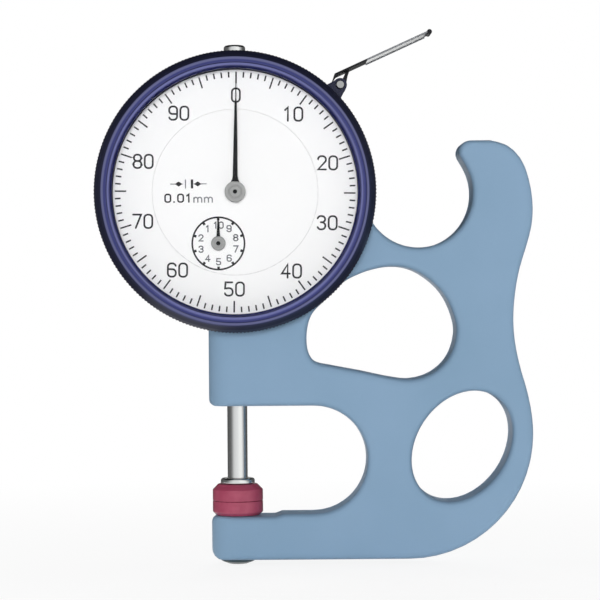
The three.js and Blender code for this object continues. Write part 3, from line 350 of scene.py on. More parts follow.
def make_black_sheet_finish():
    finish, tree, _ = new_finish("Black_sheet", "#161618", Roughness=1.0)
    glow = add(tree, "ShaderNodeEmission", {"Color": (SHEET_TONE, SHEET_TONE, SHEET_TONE, 1)})
    tree.links.new(glow.outputs[0], tree.nodes["Material Output"].inputs["Surface"])
    return finish


sheet_corners = [(side * SHEET_HALF_WIDTH, along, up) for along, up in SHEET_LINE for side in (-1, 1)]
stand_up("black_sheet", make_black_sheet_finish(), sheet_corners, [(0, 1, 3, 2), (2, 3, 5, 4)])

# %% [markdown]
# The model's pieces come as flat triangles. Four modifiers turn one into a machined part without
# touching its mesh: weld the corners, melt the triangles of each flat face into one, round every real
# corner by up to 0.3 mm, and let the large faces rule the shading. No real edge is perfectly sharp, and
# that tiny round is what catches the light.

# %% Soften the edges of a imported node
WELD_DISTANCE = 0.002 * MM
FLAT_ANGLE = math.radians(0.6)
CORNER_ANGLE = math.radians(28)
FLAT_FACE_WEIGHT = 80


def round_corners(piece, width_mm, segments=3):
    """Rounds the corners of a piece and lets its large faces rule the shading next to them."""
    rounding = piece.modifiers.new("round corners", "BEVEL")
    rounding.width = width_mm * MM
    rounding.segments = segments
    rounding.limit_method = "ANGLE"
    rounding.angle_limit = CORNER_ANGLE
    shading = piece.modifiers.new("even shading", "WEIGHTED_NORMAL")
    shading.weight = FLAT_FACE_WEIGHT
    for polygon in piece.data.polygons:
        polygon.use_smooth = True


def soften(name, width_mm):
    piece = nodes[name]
    weld = piece.modifiers.new("weld", "WELD")
    weld.merge_threshold = WELD_DISTANCE
    melt = piece.modifiers.new("melt flats", "DECIMATE")
    melt.decimate_type = "DISSOLVE"
    melt.angle_limit = FLAT_ANGLE
    round_corners(piece, width_mm)


def finish_node(name, material):
    materials = nodes[name].data.materials
    materials.clear()
    materials.append(material)


print("corners over", round(math.degrees(CORNER_ANGLE)), "degrees are rounded")

# %% [markdown]
# The bow is cast iron or zinc under a thick stoved enamel in a soft grey blue. Enamel flows before
# it sets, so it has no grain, only a very shallow orange peel with waves about a millimetre long, and
# its colour drifts a little over the casting. It is half gloss, which spreads the highlights wide.
# Two functions make that drift and that peel, and other finishes use them at their own sizes. Most of
# a noise lies between 0.3 and 0.7, so a strong drift spreads that middle over its whole range.

# %% Blue grey stoved enamel
FULL_REACH = (0.0, 1.0)
STRONG_REACH = (0.3, 0.7)


def drift_in_colour(tree, shader, cloud_mm, dark, light, reach=STRONG_REACH):
    """Lets the colour wander between two hex colours in clouds of a real size."""
    place = add(tree, "ShaderNodeTexCoord").outputs["Object"]
    clouds = add(tree, "ShaderNodeTexNoise", {"Vector": place, "Scale": 1 / (cloud_mm * MM)})
    drift = add(tree, "ShaderNodeMapRange", {"Value": clouds.outputs["Fac"], "From Min": reach[0],
                                             "From Max": reach[1]})
    tint = add(tree, "ShaderNodeMix", {0: drift.outputs["Result"], 6: linear(dark), 7: linear(light)},
               data_type="RGBA")
    tree.links.new(tint.outputs[2], shader.inputs["Base Color"])


def raise_grain(tree, shader, grain_mm, depth_mm):
    """Lets the surface swell and sink in grain of a real size and depth."""
    place = add(tree, "ShaderNodeTexCoord").outputs["Object"]
    grain = add(tree, "ShaderNodeTexNoise", {"Vector": place, "Scale": 1 / (grain_mm * MM)})
    raised = add(tree, "ShaderNodeBump", {"Height": grain.outputs["Fac"], "Distance": depth_mm * MM})
    tree.links.new(raised.outputs["Normal"], shader.inputs["Normal"])


enamel, enamel_tree, enamel_shader = new_finish("Stoved_enamel_grey_blue", "#7F9BB4", Roughness=0.42,
                                                Specular_IOR_Level=0.25)
drift_in_colour(enamel_tree, enamel_shader, cloud_mm=22, dark="#7C99B2", light="#829EB8")
raise_grain(enamel_tree, enamel_shader, grain_mm=1.1, depth_mm=0.012)
print(enamel.name, len(enamel_tree.nodes), "nodes")

# %% [markdown]
# The ring is turned aluminium, anodised dark blue. Anodising dyes a clear glass-hard skin while the
# metal below still shines through it, so it is a metal with a blue reflection, not blue paint.
# A colour ramp over the distance from the axis paints the ring's light and shade into its colour: painted
# shade in the groove beside the glass and on the outer side, painted highlights on the tops of the ridges.
# From 26 mm out the metal also shines less, which keeps the painted shade of the outer side dark.
# The tool also leaves fine rings, which stretch the highlights, so the roughness follows rings 0.12 mm
# apart, which is coarser than the real feed so that it still shows.

# %% Anodised blue aluminium with painted light and shade
TURNED_FEED_MM = 0.12
BRIGHT_TO_MM = 26.0
DULL_FROM_MM = 26.4
LIGHT_AND_SHADE_INNER_MM = 23.9
LIGHT_AND_SHADE_OUTER_MM = 27.5
# Painted light and shade by distance from the axis: painted shade in the groove beside the glass and beyond
# 26.15 mm, painted highlights on the two ridge tops.
RING_LIGHT_AND_SHADE_STOPS = [
    (23.9, "#1C2052"), (24.12, "#262A5C"), (24.45, "#7A7DB0"), (24.8, "#7478AE"), (25.1, "#484C82"),
    (25.35, "#484C82"), (25.6, "#70739C"), (25.9, "#6A6D94"), (26.15, "#363955"), (26.45, "#1F2135"),
]


def make_anodised_blue():
    finish, tree, shader = new_finish("Anodised_aluminium_blue_painted_light", "#666A9C", Metallic=1.0, Roughness=0.32,
                                      Specular_IOR_Level=0.2)
    place = add(tree, "ShaderNodeTexCoord").outputs["Object"]
    parts = add(tree, "ShaderNodeSeparateXYZ", {0: place})
    flat = add(tree, "ShaderNodeCombineXYZ", {"X": parts.outputs["X"], "Z": parts.outputs["Z"]})
    away = add(tree, "ShaderNodeVectorMath", {0: flat.outputs[0]}, operation="LENGTH")
    share = add(tree, "ShaderNodeMapRange", {"Value": away.outputs["Value"], "From Min": LIGHT_AND_SHADE_INNER_MM * MM,
                                             "From Max": LIGHT_AND_SHADE_OUTER_MM * MM})
    # This ramp paints the light and shade of the profile into the base colour.
    light_and_shade = add(tree, "ShaderNodeValToRGB", {"Fac": share.outputs["Result"]})
    fill_ramp(light_and_shade, LIGHT_AND_SHADE_INNER_MM, LIGHT_AND_SHADE_OUTER_MM, [(radius, linear(colour)) for radius, colour in RING_LIGHT_AND_SHADE_STOPS])
    tree.links.new(light_and_shade.outputs["Color"], shader.inputs["Base Color"])
    spread = add(tree, "ShaderNodeCombineXYZ", {"X": away.outputs["Value"]})
    rings = add(tree, "ShaderNodeTexNoise", {"Vector": spread.outputs[0],
                                             "Scale": 1 / (TURNED_FEED_MM * MM)})
    rough = add(tree, "ShaderNodeMapRange", {"Value": rings.outputs["Fac"], "To Min": 0.26, "To Max": 0.42})
    tree.links.new(rough.outputs["Result"], shader.inputs["Roughness"])
    # Beyond 26 mm the metal shines less, so the painted shade of the outer side stays dark.
    bare = add(tree, "ShaderNodeMapRange", {"Value": away.outputs["Value"], "From Min": BRIGHT_TO_MM * MM,
                                            "From Max": DULL_FROM_MM * MM, "To Min": 1.0, "To Max": 0.2})
    tree.links.new(bare.outputs["Result"], shader.inputs["Metallic"])
    return finish


# The knurled side is dark navy anodising, and the part of its darkness beyond the ring's blue is painted
# shade: the shade in the knurl's grooves and the dark surroundings it mirrors.
def make_dyed_grip():
    finish, tree, shader = new_finish("Anodised_knurled_aluminium_painted_shade", "#1F2135", Metallic=0.2,
                                      Roughness=0.45, Specular_IOR_Level=0.2)
    drift_in_colour(tree, shader, cloud_mm=3.0, dark="#1C1E31", light="#242639", reach=FULL_REACH)
    return finish


anodised_blue_with_painted_light = make_anodised_blue()
grip_dark_and_shade = make_dyed_grip()
print("ring finishes", anodised_blue_with_painted_light.name, grip_dark_and_shade.name, "with", len(RING_LIGHT_AND_SHADE_STOPS), "dye stops")

# %% [markdown]
# Polished and ground steel differ only in their scratches. The rod and the collar are polished, so
# they mirror the room nearly sharp. Screws and the inner works are ground or turned, which leaves
# fine grain that blurs what they mirror. A faint stretched noise along the rod stands for the last
# polishing strokes. The function for the grain serves lacquer and oxide too.

# %% Steels
POLISH_STROKE_MM = 0.35
POLISH_LENGTH_MM = 9.0
GRIND_MM = 0.25
GRIND_SPREAD = 0.06


def grain_in_gloss(tree, shader, grain_mm, lowest, highest, reach=FULL_REACH):
    """Lets the roughness wander between two values in grain of a real size."""
    place = add(tree, "ShaderNodeTexCoord").outputs["Object"]
    grain = add(tree, "ShaderNodeTexNoise", {"Vector": place, "Scale": 1 / (grain_mm * MM)})
    rough = add(tree, "ShaderNodeMapRange", {"Value": grain.outputs["Fac"], "From Min": reach[0],
                                             "From Max": reach[1], "To Min": lowest, "To Max": highest})
    tree.links.new(rough.outputs["Result"], shader.inputs["Roughness"])


def make_polished_steel():
    finish, tree, shader = new_finish("Polished_steel", "#ECEEEC", Metallic=1.0, Roughness=0.2)
    place = add(tree, "ShaderNodeTexCoord").outputs["Object"]
    stretch = add(tree, "ShaderNodeMapping", {"Vector": place,
                                              "Scale": (1, 1, POLISH_STROKE_MM / POLISH_LENGTH_MM)})
    strokes = add(tree, "ShaderNodeTexNoise", {"Vector": stretch.outputs[0],
                                               "Scale": 1 / (POLISH_STROKE_MM * MM)})
    rough = add(tree, "ShaderNodeMapRange", {"Value": strokes.outputs["Fac"],
                                             "From Min": STRONG_REACH[0], "From Max": STRONG_REACH[1],
                                             "To Min": 0.16, "To Max": 0.24})
    tree.links.new(rough.outputs["Result"], shader.inputs["Roughness"])
    return finish


def make_ground_metal(name, colour, roughness):
    finish, tree, shader = new_finish(name, colour, Metallic=1.0, Roughness=roughness)
    grain_in_gloss(tree, shader, GRIND_MM, roughness - GRIND_SPREAD, roughness + GRIND_SPREAD, STRONG_REACH)
    return finish


polished_steel = make_polished_steel()
ground_steel = make_ground_metal("Ground_steel", "#B9BBB9", 0.3)
brass = make_ground_metal("Turned_brass", "#C8A55A", 0.28)
blued_steel = make_ground_metal("Blued_spring_steel", "#3B4668", 0.26)
boss_metal = make_ground_metal("Grey_boss_metal", "#BCBDBB", 0.38)
print("steels and brass", polished_steel.name, ground_steel.name, brass.name)

# %% [markdown]
# The two measuring faces are a hard red plastic over steel. It is opaque, dense and glossy, so the
# colour stays in the middle and the edges reflect darker.
# The housing is black navy paint on a casting, with a fine satin grain. The screw under the anvil is a
# dark teal grey paint, and part of that darkness is painted shade, because the screw faces down, away
# from the light. The lever is blackened in a hot salt bath, which leaves a thin matt crust of oxide that
# no longer shines like a metal. Its edges are a mid grey in a grain as fine as the paint's, partly rubbed
# half bright and partly painted shade that keeps them darker than the bright flats.

# %% Red hard faces and dark paint


def make_red_face():
    finish, tree, shader = new_finish("Glossy_red_hard_plastic", "#9C4159", Roughness=0.24, IOR=1.5)
    drift_in_colour(tree, shader, cloud_mm=2.5, dark="#963D55", light="#A3475F")
    return finish


def make_satin_paint(name, colour, roughness):
    finish, tree, shader = new_finish(name, colour, Roughness=roughness, Specular_IOR_Level=0.3)
    raise_grain(tree, shader, grain_mm=0.4, depth_mm=0.008)
    return finish


def make_black_oxide():
    finish, tree, shader = new_finish("Black_oxide_on_steel", "#17181B", Roughness=0.55,
                                      Specular_IOR_Level=0.3)
    grain_in_gloss(tree, shader, grain_mm=0.5, lowest=0.46, highest=0.64)
    return finish


red_face = make_red_face()
case_paint = make_satin_paint("Satin_paint_black_navy", "#202337", 0.38)
# The dark teal grey of the screw under the anvil is partly painted shade for its downward-facing head.
foot_paint_and_shade = make_satin_paint("Satin_paint_dark_teal_grey_and_shade", "#36464A", 0.35)
black_oxide = make_black_oxide()
# Mid grey for the lever's edges: partly half-polished oxide, partly painted shade.
lever_edge_grey_and_shade = make_satin_paint("Half_polished_oxide_and_painted_shade", "#7C7E82", 0.4)
print("red and dark finishes", [made.name for made in (red_face, case_paint, foot_paint_and_shade, black_oxide,
                                                     lever_edge_grey_and_shade)])

# %% [markdown]
# Turned parts are made as they are on a lathe, from a half profile. Each corner of the profile is first
# cut back and replaced by a short arc of its own radius, so the round edges are part of the shape and
# not an afterthought.

# %% Round corners of a profile
CORNER_STEPS = 4


def rounded(profile):
    """The points of a closed profile whose corners (radius, y, corner radius in mm) become arcs."""
    points = []
    for place, (across, along, radius) in enumerate(profile):
        here = Vector((across, along))
        before = Vector(profile[place - 1][:2]) - here
        after = Vector(profile[(place + 1) % len(profile)][:2]) - here
        if radius == 0:
            points.append(here)
            continue
        half = before.angle(after) / 2
        cut = min(radius / math.tan(half), before.length / 2, after.length / 2)
        start = here + before.normalized() * cut
        end = here + after.normalized() * cut
        for step in range(CORNER_STEPS + 1):
            share = step / CORNER_STEPS
            points.append(start * (1 - share) ** 2 + here * 2 * share * (1 - share) + end * share ** 2)
    return points


print("a corner becomes", CORNER_STEPS + 1, "points")

# %% [markdown]
# Pieces are drawn in millimetres and turned into metres in one place. The lathe sweeps a profile round
# an axis that looks at the reader, then joins the points that meet on the axis, turns every face
# outwards and keeps the shading smooth except over real corners.

# %% Lathe
LATHE_STEPS = 256
SEAM_MM = 0.0005
SMOOTH_UP_TO_DEGREES = 30


def new_piece(name, material, vertices, faces, smooth=True):
    """An object whose points are given in millimetres in the frame's own place."""
    mesh = bpy.data.meshes.new(name)
    mesh.from_pydata([Vector(point) * MM for point in vertices], [], faces)
    mesh.materials.append(material)
    for polygon in mesh.polygons:
        polygon.use_smooth = smooth
    return put_in_scene(name, mesh)


def clean_up(piece, smooth_degrees=SMOOTH_UP_TO_DEGREES):
    """Join the points that lie on each other, turn every face outwards and mark the sharp edges."""
    shape = bmesh.new()
    shape.from_mesh(piece.data)
    bmesh.ops.remove_doubles(shape, verts=shape.verts, dist=SEAM_MM * MM)
    bmesh.ops.recalc_face_normals(shape, faces=shape.faces)
    shape.normal_update()
    for edge in shape.edges:
        edge.smooth = len(edge.link_faces) == 2 and edge.calc_face_angle(0) < math.radians(smooth_degrees)
    shape.to_mesh(piece.data)
    shape.free()
    return piece


def swept_faces(around, count):
    """The faces between copies of a closed profile of some points that stand in a circle."""
    faces = []
    for step in range(around):
        here = step * count
        there = (step + 1) % around * count
        for place in range(count):
            after = (place + 1) % count
            faces.append((here + place, here + after, there + after, there + place))
    return faces


def turn(name, material, profile, centre=(0, 0), steps=LATHE_STEPS):
    """Sweep a closed profile of (radius, y, corner radius) round an axis along Y."""
    outline = rounded(profile)
    vertices = []
    for step in range(steps):
        angle = 2 * math.pi * step / steps
        for across, along in outline:
            vertices.append((centre[0] + across * math.cos(angle), along,
                             centre[1] + across * math.sin(angle)))
    return clean_up(new_piece(name, material, vertices, swept_faces(steps, len(outline))))


print("lathe", LATHE_STEPS, "steps round")

# %% [markdown]
# The ring has a dark slope next to the glass, two light ridges with a shallow valley between them, and a
# side that falls away to the outer edge. The ridges stand 24.7 and 25.9 mm from the axis. Behind them
# are the seat of the glass and the bore that turns on the case. First come the places that it shares
# with the glass and the dial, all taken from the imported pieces.

# %% Places round the dial


def low_end(node):
    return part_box(node)[0] / MM


def high_end(node):
    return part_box(node)[1] / MM


RING_RADIUS = high_end("bezel").x
RING_FRONT = low_end("bezel").y
RING_BACK = high_end("bezel").y
GLASS_RADIUS = high_end("crystal").x
GLASS_BACK = high_end("crystal").y
LIP_RADIUS = GLASS_RADIUS - 0.35
DIAL_RADIUS = high_end("dial_ring").x
DIAL_FRONT = low_end("dial_ring").y
DIAL_BACK = high_end("dial_ring").y
GRIP_FRONT = RING_FRONT + 2.7
GRIP_BACK = RING_BACK - 0.9
print("ring", RING_RADIUS, RING_FRONT, "glass", GLASS_RADIUS, GLASS_BACK, "dial", DIAL_RADIUS, DIAL_FRONT)

# %% [markdown]
# The profile runs from the lip over the ridges to the grip and back along the inside. The ridges are
# given by how far out from the lip and how far behind the front each corner lies, and how round it is.

# %% Blue ring
LIP_BACK = RING_FRONT + 1.1
RIDGES = [
    (0, 0.8, 0.08), (0.45, 0.15, 0.12), (0.65, 0, 0.12), (0.95, 0, 0.12), (1.15, 0.16, 0.12),
    (1.55, 0.16, 0.12), (1.75, 0.02, 0.12), (2.15, 0.02, 0.15), (2.45, 0.45, 0.2),
]


def make_ring():
    side = RING_RADIUS - 0.12
    under_grip = RING_RADIUS - 0.35
    skirt = RING_RADIUS - 3.0
    bore = DIAL_RADIUS + 0.2
    seat = GLASS_RADIUS + 0.1
    front = [(LIP_RADIUS, LIP_BACK, 0)]
    front += [(LIP_RADIUS + out, RING_FRONT + down, bend) for out, down, bend in RIDGES]
    front += [(RING_RADIUS - 0.55, RING_FRONT + 1.5, 0.3), (side, GRIP_FRONT - 0.3, 0.15),
              (side, GRIP_FRONT, 0), (under_grip, GRIP_FRONT, 0)]
    back = [(under_grip, GRIP_BACK, 0), (side, GRIP_BACK, 0), (side, RING_BACK, 0.4),
            (skirt, RING_BACK, 0.1), (skirt, DIAL_BACK + 0.3, 0), (bore, DIAL_BACK + 0.3, 0),
            (bore, GLASS_BACK + 0.05, 0), (seat, GLASS_BACK + 0.05, 0), (seat, LIP_BACK, 0)]
    ring = turn("turned_ring", anodised_blue_with_painted_light, front + back)
    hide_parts("bezel")
    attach(ring, "bezel_assembly")
    print("ring points", len(ring.data.vertices))


make_ring()

# %% [markdown]
# The outer side is knurled for the fingers: a wheel rolls fine teeth into it. The teeth are real ones
# here, 240 round the ring, on a band of their own, because a bump would leave the outline smooth.

# %% Knurled grip
GRIP_TEETH = 240
GRIP_TOOTH_STEPS = (0.0, 0.18, 0.5, 0.68)
GRIP_DEPTH = 0.15
GRIP_END_ROUND = 0.3
GRIP_SMOOTH_DEGREES = 20


def make_grip():
    """A band whose outside goes in and out once for each tooth, with the teeth running out at its ends."""
    sides = [
        (0.0, GRIP_FRONT), (0.75, GRIP_FRONT), (1.0, GRIP_FRONT + GRIP_END_ROUND),
        (1.0, GRIP_BACK - GRIP_END_ROUND), (0.75, GRIP_BACK), (0.0, GRIP_BACK)]
    inner = RING_RADIUS - 0.6
    root = RING_RADIUS - GRIP_DEPTH
    vertices = []
    for tooth in range(GRIP_TEETH):
        for step, place in enumerate(GRIP_TOOTH_STEPS):
            angle = 2 * math.pi * (tooth + place) / GRIP_TEETH
            tip = RING_RADIUS if step in (1, 2) else root
            for share, along in sides:
                radius = inner + (tip - inner) * share
                vertices.append((radius * math.cos(angle), along, radius * math.sin(angle)))
    faces = swept_faces(GRIP_TEETH * len(GRIP_TOOTH_STEPS), len(sides))
    grip = clean_up(new_piece("knurled_grip", grip_dark_and_shade, vertices, faces), GRIP_SMOOTH_DEGREES)
    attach(grip, "bezel_assembly")
    print("grip points", len(grip.data.vertices))


make_grip()

# %% [markdown]
# The glass is really a thin domed disc of clear acrylic. A full glass shader would stop the soft box's
# light on its way to the dial and turn the dial grey, and it exports badly. A mostly see-through
# surface keeps only what the eye gets from thin clear plastic: a faint gloss over what lies behind.

# %% Clear dome
DOME_HEIGHT = 0.7
DOME_STEPS = 14
DOME_EDGE_ROUND = 0.2


def make_dome():
    clear = new_finish("Clear_acrylic", "#707478", Roughness=0.05, IOR=1.49, Alpha=0.025)[0]
    edge = GLASS_BACK - 0.95
    rim = LIP_RADIUS - 0.25
    profile = [(0.0, GLASS_BACK, 0), (GLASS_RADIUS, GLASS_BACK, 0), (GLASS_RADIUS, edge, DOME_EDGE_ROUND)]
    for step in range(DOME_STEPS + 1):
        share = 1 - step / DOME_STEPS
        profile.append((rim * share, edge - DOME_HEIGHT * (1 - share ** 2), 0))
    dome = turn("clear_dome", clear, profile)
    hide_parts("crystal")
    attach(dome, "bezel_assembly")
    print("dome from", GLASS_BACK, "to", round(edge - DOME_HEIGHT, 2))


make_dome()

# %% [markdown]
# The dial is thin brass or aluminium with a white lacquer, baked matt so that it does not glare. It
# comes in two pieces, an outer ring that turns with the blue ring and a disc that stays. Their edges
# get the small burr-free round that a stamped and lacquered sheet has.

# %% White dial
DIAL_EDGE_ROUND = 0.02
DIAL_GAP = 0.02


def make_dial_lacquer():
    finish, tree, shader = new_finish("Matt_white_dial_lacquer", "#FDFDFD", Roughness=0.55, IOR=1.45)
    grain_in_gloss(tree, shader, grain_mm=0.6, lowest=0.48, highest=0.62)
    return finish


dial_white = make_dial_lacquer()


def make_dial():
    inner = high_end("centre_disc").x + DIAL_GAP
    ring = turn("dial_outer", dial_white, [
        (inner, DIAL_FRONT, DIAL_EDGE_ROUND),
        (DIAL_RADIUS, DIAL_FRONT, DIAL_EDGE_ROUND),
        (DIAL_RADIUS, DIAL_BACK, 0),
        (inner, DIAL_BACK, 0),
    ])
    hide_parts("dial_ring")
    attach(ring, "bezel_assembly")
    finish_node("centre_disc", dial_white)
    soften("centre_disc", DIAL_EDGE_ROUND)
    print("outer dial from", round(inner, 2), "to", round(DIAL_RADIUS, 2), "mm")


make_dial()

# %% [markdown]
# The print on a dial is made of pen strokes, as an engraver's template cuts them: each is a centre line
# that is given a width and, where nothing joins it, round ends.

# %% Pen strokes
PEN_STEPS = 6


def stroke(points, width, closed=False, round_ends=True):
    """The outline of a line of a given width along flat points, as a list of quads and end fans."""
    flat = [Vector(point) for point in points]
    count = len(flat)
    sides = []
    for place in range(count):
        before = flat[place - 1] if closed or place > 0 else None
        after = flat[(place + 1) % count] if closed or place < count - 1 else None
        into = (flat[place] - before).normalized() if before is not None else None
        out = (after - flat[place]).normalized() if after is not None else None
        along = ((into or out) + (out or into)).normalized()
        lean = along.dot(out or into)
        normal = Vector((-along.y, along.x)) * (width / 2 / max(lean, 0.5))
        sides.append((flat[place] + normal, flat[place] - normal))
    shapes = []
    last = count if closed else count - 1
    for place in range(last):
        after = (place + 1) % count
        shapes.append([sides[place][0], sides[place][1], sides[after][1], sides[after][0]])
    if not closed and round_ends:
        for end, beside in ((0, 1), (-1, -2)):
            turned = math.atan2(flat[end].y - flat[beside].y, flat[end].x - flat[beside].x)
            fan = []
            for step in range(PEN_STEPS + 1):
                angle = turned - math.pi / 2 + math.pi * step / PEN_STEPS
                fan.append(flat[end] + Vector((math.cos(angle), math.sin(angle))) * width / 2)
            shapes.append(fan)
    return shapes


def arc(centre, radius, start, end, steps=6):
    """Points along part of a circle, from one angle in degrees to another."""
    points = []
    for step in range(steps + 1):
        angle = math.radians(start + (end - start) * step / steps)
        points.append((centre[0] + radius * math.cos(angle), centre[1] + radius * math.sin(angle)))
    return points


def circle(centre, radius, steps):
    """Points all round a circle, for a closed stroke."""
    return arc(centre, radius, 0, 360 * (1 - 1 / steps), steps - 1)


print("a straight stroke has", len(stroke([(0, 0), (1, 0)], 0.1)), "shapes: a bar and two ends")

# %% [markdown]
# The ink is a film about 0.02 mm thick, laid on by a silicone pad. It is made here as real thin plates,
# so every line stays sharp at any size, turns with its dial and survives export. Big numbers are printed
# nearly black, small ones and words in thinner greys.

# %% Inks and how they are laid on
INK_THICKNESS = 0.02


def make_ink(name, colour):
    return new_finish(name, colour, Roughness=0.5, IOR=1.4)[0]


dial_ink = make_ink("Dark_grey_dial_ink", "#28282B")
grey_ink = make_ink("Grey_dial_ink", "#6A6B70")
light_ink = make_ink("Light_grey_dial_ink", "#85868B")
print("inks", dial_ink.name, grey_ink.name, light_ink.name)


def turned_left(shape):
    """The same outline, run anticlockwise as the reader sees it."""
    area = sum(here[0] * after[1] - after[0] * here[1] for here, after in zip(shape, [*shape[1:], shape[0]]))
    return list(shape) if area > 0 else list(reversed(shape))


def side_faces(start, count):
    """The faces round a plate whose near corners come before its far ones."""
    faces = []
    for place in range(count):
        after = (place + 1) % count
        faces.append((start + place, start + count + place, start + count + after, start + after))
    return faces


def print_on(name, shapes, face, ink, body):
    """Ink plates from flat (x, z) shapes on a face that looks towards the reader."""
    vertices = []
    faces = []
    for shape in map(turned_left, shapes):
        start = len(vertices)
        count = len(shape)
        for depth in (face - INK_THICKNESS, face):
            vertices += [(point[0], depth, point[1]) for point in shape]
        faces.append(tuple(range(start, start + count)))
        faces += side_faces(start, count)
    printed = new_piece(name, ink, vertices, faces, smooth=False)
    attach(printed, body)


# %% [markdown]
# The numbers are a thin square-shouldered face, over half as tall again as wide with generous corners,
# which was the usual style on instruments because a pantograph could cut it from straight runs and
# quarter circles. The shapes below are drawn on a cell one unit wide and 1.6 high. Where it can, a digit
# is one stroke that butts against itself, because ink plates that overlap would show a dark patch.

# %% Digits
CELL_WIDTH = 1.0
CELL_HEIGHT = 1.6
BEND = 0.42


def corner(x, z, start, radius=BEND):
    """A quarter circle that turns anticlockwise and begins in the direction of start degrees."""
    return arc((x, z), radius, start, start + 90)


def digit_loop(low, high, inset=0.0):
    """A loop with round corners, between two heights of the cell and inset from its sides."""
    radius = BEND - inset
    right = CELL_WIDTH - BEND
    return (corner(right, high - radius, 0, radius) + corner(BEND, high - radius, 90, radius)
            + corner(BEND, low + radius, 180, radius) + corner(right, low + radius, 270, radius))


def strokes_of(digit):
    """The centre lines of a digit: a list of (points, closed)."""
    wide = CELL_WIDTH
    high = CELL_HEIGHT
    bar = high / 2 + 0.1
    low_bar = high / 2 - 0.1
    waist = high / 2 + 0.06
    b = BEND
    left_top = (b, high - b)
    right_top = (wide - b, high - b)
    left_foot = (b, b)
    right_foot = (wide - b, b)
    hook = arc(left_foot, b, 270, 200)
    shapes = {
        "0": [(digit_loop(0, high), True)],
        "1": [([(wide * 0.25, high * 0.8), (wide * 0.6, high), (wide * 0.6, 0)], False)],
        "2": [([(0, high - b)] + arc(left_top, b, 180, 90) + arc(right_top, b, 90, -30)
               + [(0.03, 0), (wide, 0)], False)],
        "3": [(arc(left_top, b, 160, 90) + arc((wide - b, high - b + 0.04), b - 0.04, 90, -90)
               + [(b, waist)], False),
              ([(b, waist)] + arc((wide - b - 0.02, waist - b - 0.01), b + 0.01, 90, -90) + hook, False)],
        "4": [([(wide * 0.72, 0), (wide * 0.72, high), (0, high * 0.3), (wide, high * 0.3)], False)],
        "5": [([(wide - 0.06, high), (0.1, high), (0.04, waist)] + arc((b, bar - b), b, 110, 90)
               + arc((wide - b, bar - b), b, 90, 0) + arc(right_foot, b, 0, -90) + hook, False)],
        "6": [([(0.2, bar)] + arc((wide - b, bar - b), b, 90, 0) + arc(right_foot, b, 0, -90)
               + arc(left_foot, b, 270, 180) + arc(left_top, b, 180, 90)
               + arc(right_top, b, 90, 20), False)],
        "7": [([(0, high), (wide, high), (wide * 0.35, 0)], False)],
        "8": [(digit_loop(high / 2 + 0.04, high, 0.04), True), (digit_loop(0, high / 2 + 0.04), True)],
        "9": [([(wide - 0.2, low_bar)] + arc((b, low_bar + b), b, 270, 180) + arc(left_top, b, 180, 90)
               + arc(right_top, b, 90, 0) + arc(right_foot, b, 0, -90) + hook, False)],
    }
    return shapes[digit]


def number_shapes(digits, centre, cell, pen, pitch):
    """Flat shapes of a number centred on a place, with its cell's real width and height."""
    shapes = []
    left = -(len(digits) - 1) * pitch / 2
    for place, digit in enumerate(digits):
        for points, closed in strokes_of(digit):
            moved = [(centre[0] + left + place * pitch + (x / CELL_WIDTH - 0.5) * cell[0],
                      centre[1] + (z / CELL_HEIGHT - 0.5) * cell[1]) for x, z in points]
            shapes += stroke(moved, pen, closed)
    return shapes


print("strokes in each digit", [len(strokes_of(str(digit))) for digit in range(10)])

# %% [markdown]
# The outer scale has 100 lines for 0.01 mm each. Every fifth line is longer, and every tenth has its
# number, upright all the way round. A loop places them, because a scale is the same mark repeated.
# The ring was left a hair clockwise of straight when the gauge was set to zero, and the long hand with
# it, so both are turned by nine tenths of a degree.

# %% Outer scale
ZERO_TURN = math.radians(0.9)
LINES = 100
LINE_WIDTH = 0.3
LINE_OUTER = 23.5
LINE_INNER = 22.4
LONG_LINE_INNER = 21.25
NUMBER_RADIUS = 18.93
NUMBER_CELL = (1.56, 2.6)
NUMBER_PEN = 0.36
NUMBER_PITCH = 2.2


def clock_place(radius, turns, centre=(0.0, 0.0)):
    """A place on a dial, with turns counted clockwise from the top."""
    angle = 2 * math.pi * turns
    return centre[0] + radius * math.sin(angle), centre[1] + radius * math.cos(angle)


def mark(inner, outer, turns, width, centre=(0.0, 0.0)):
    ends = [clock_place(inner, turns, centre), clock_place(outer, turns, centre)]
    return stroke(ends, width, round_ends=False)


def turned_to_zero(shape):
    """A flat outline turned clockwise about the dial's axis by the setting of the zero."""
    across = math.cos(ZERO_TURN)
    down = math.sin(ZERO_TURN)
    return [(point[0] * across + point[1] * down, point[1] * across - point[0] * down) for point in shape]


def print_outer_scale():
    shapes = []
    for line in range(LINES):
        inner = LONG_LINE_INNER if line % 5 == 0 else LINE_INNER
        shapes += mark(inner, LINE_OUTER, line / LINES, LINE_WIDTH)
        if line % 10 == 0:
            place = clock_place(NUMBER_RADIUS, line / LINES)
            shapes += number_shapes(str(line), place, NUMBER_CELL, NUMBER_PEN, NUMBER_PITCH)
    shapes = [turned_to_zero(shape) for shape in shapes]
    print_on("outer_scale", shapes, DIAL_FRONT, dial_ink, "bezel_assembly")
    print("outer scale shapes", len(shapes))


print_outer_scale()

# %% [markdown]
# The small dial counts whole turns of the long hand. Its ten numbers run the other way round, because
# the wheel that carries its hand is driven straight by the rod and turns against the long hand.
# Its circle is one closed stroke, with a short bold tick at each number.

# %% Small dial
SMALL_RADIUS = 5.1
SMALL_LINE = 0.34
SMALL_TICK = 0.6
SMALL_TICK_WIDTH = 0.5
SMALL_NUMBER_RADIUS = 3.57
SMALL_CELL = (0.8, 1.18)
SMALL_PEN = 0.24
SMALL_PITCH = 1.1
RING_STEPS = 72


def small_centre():
    middle = (low_end("counter_hub") + high_end("counter_hub")) / 2
    return middle.x, middle.z


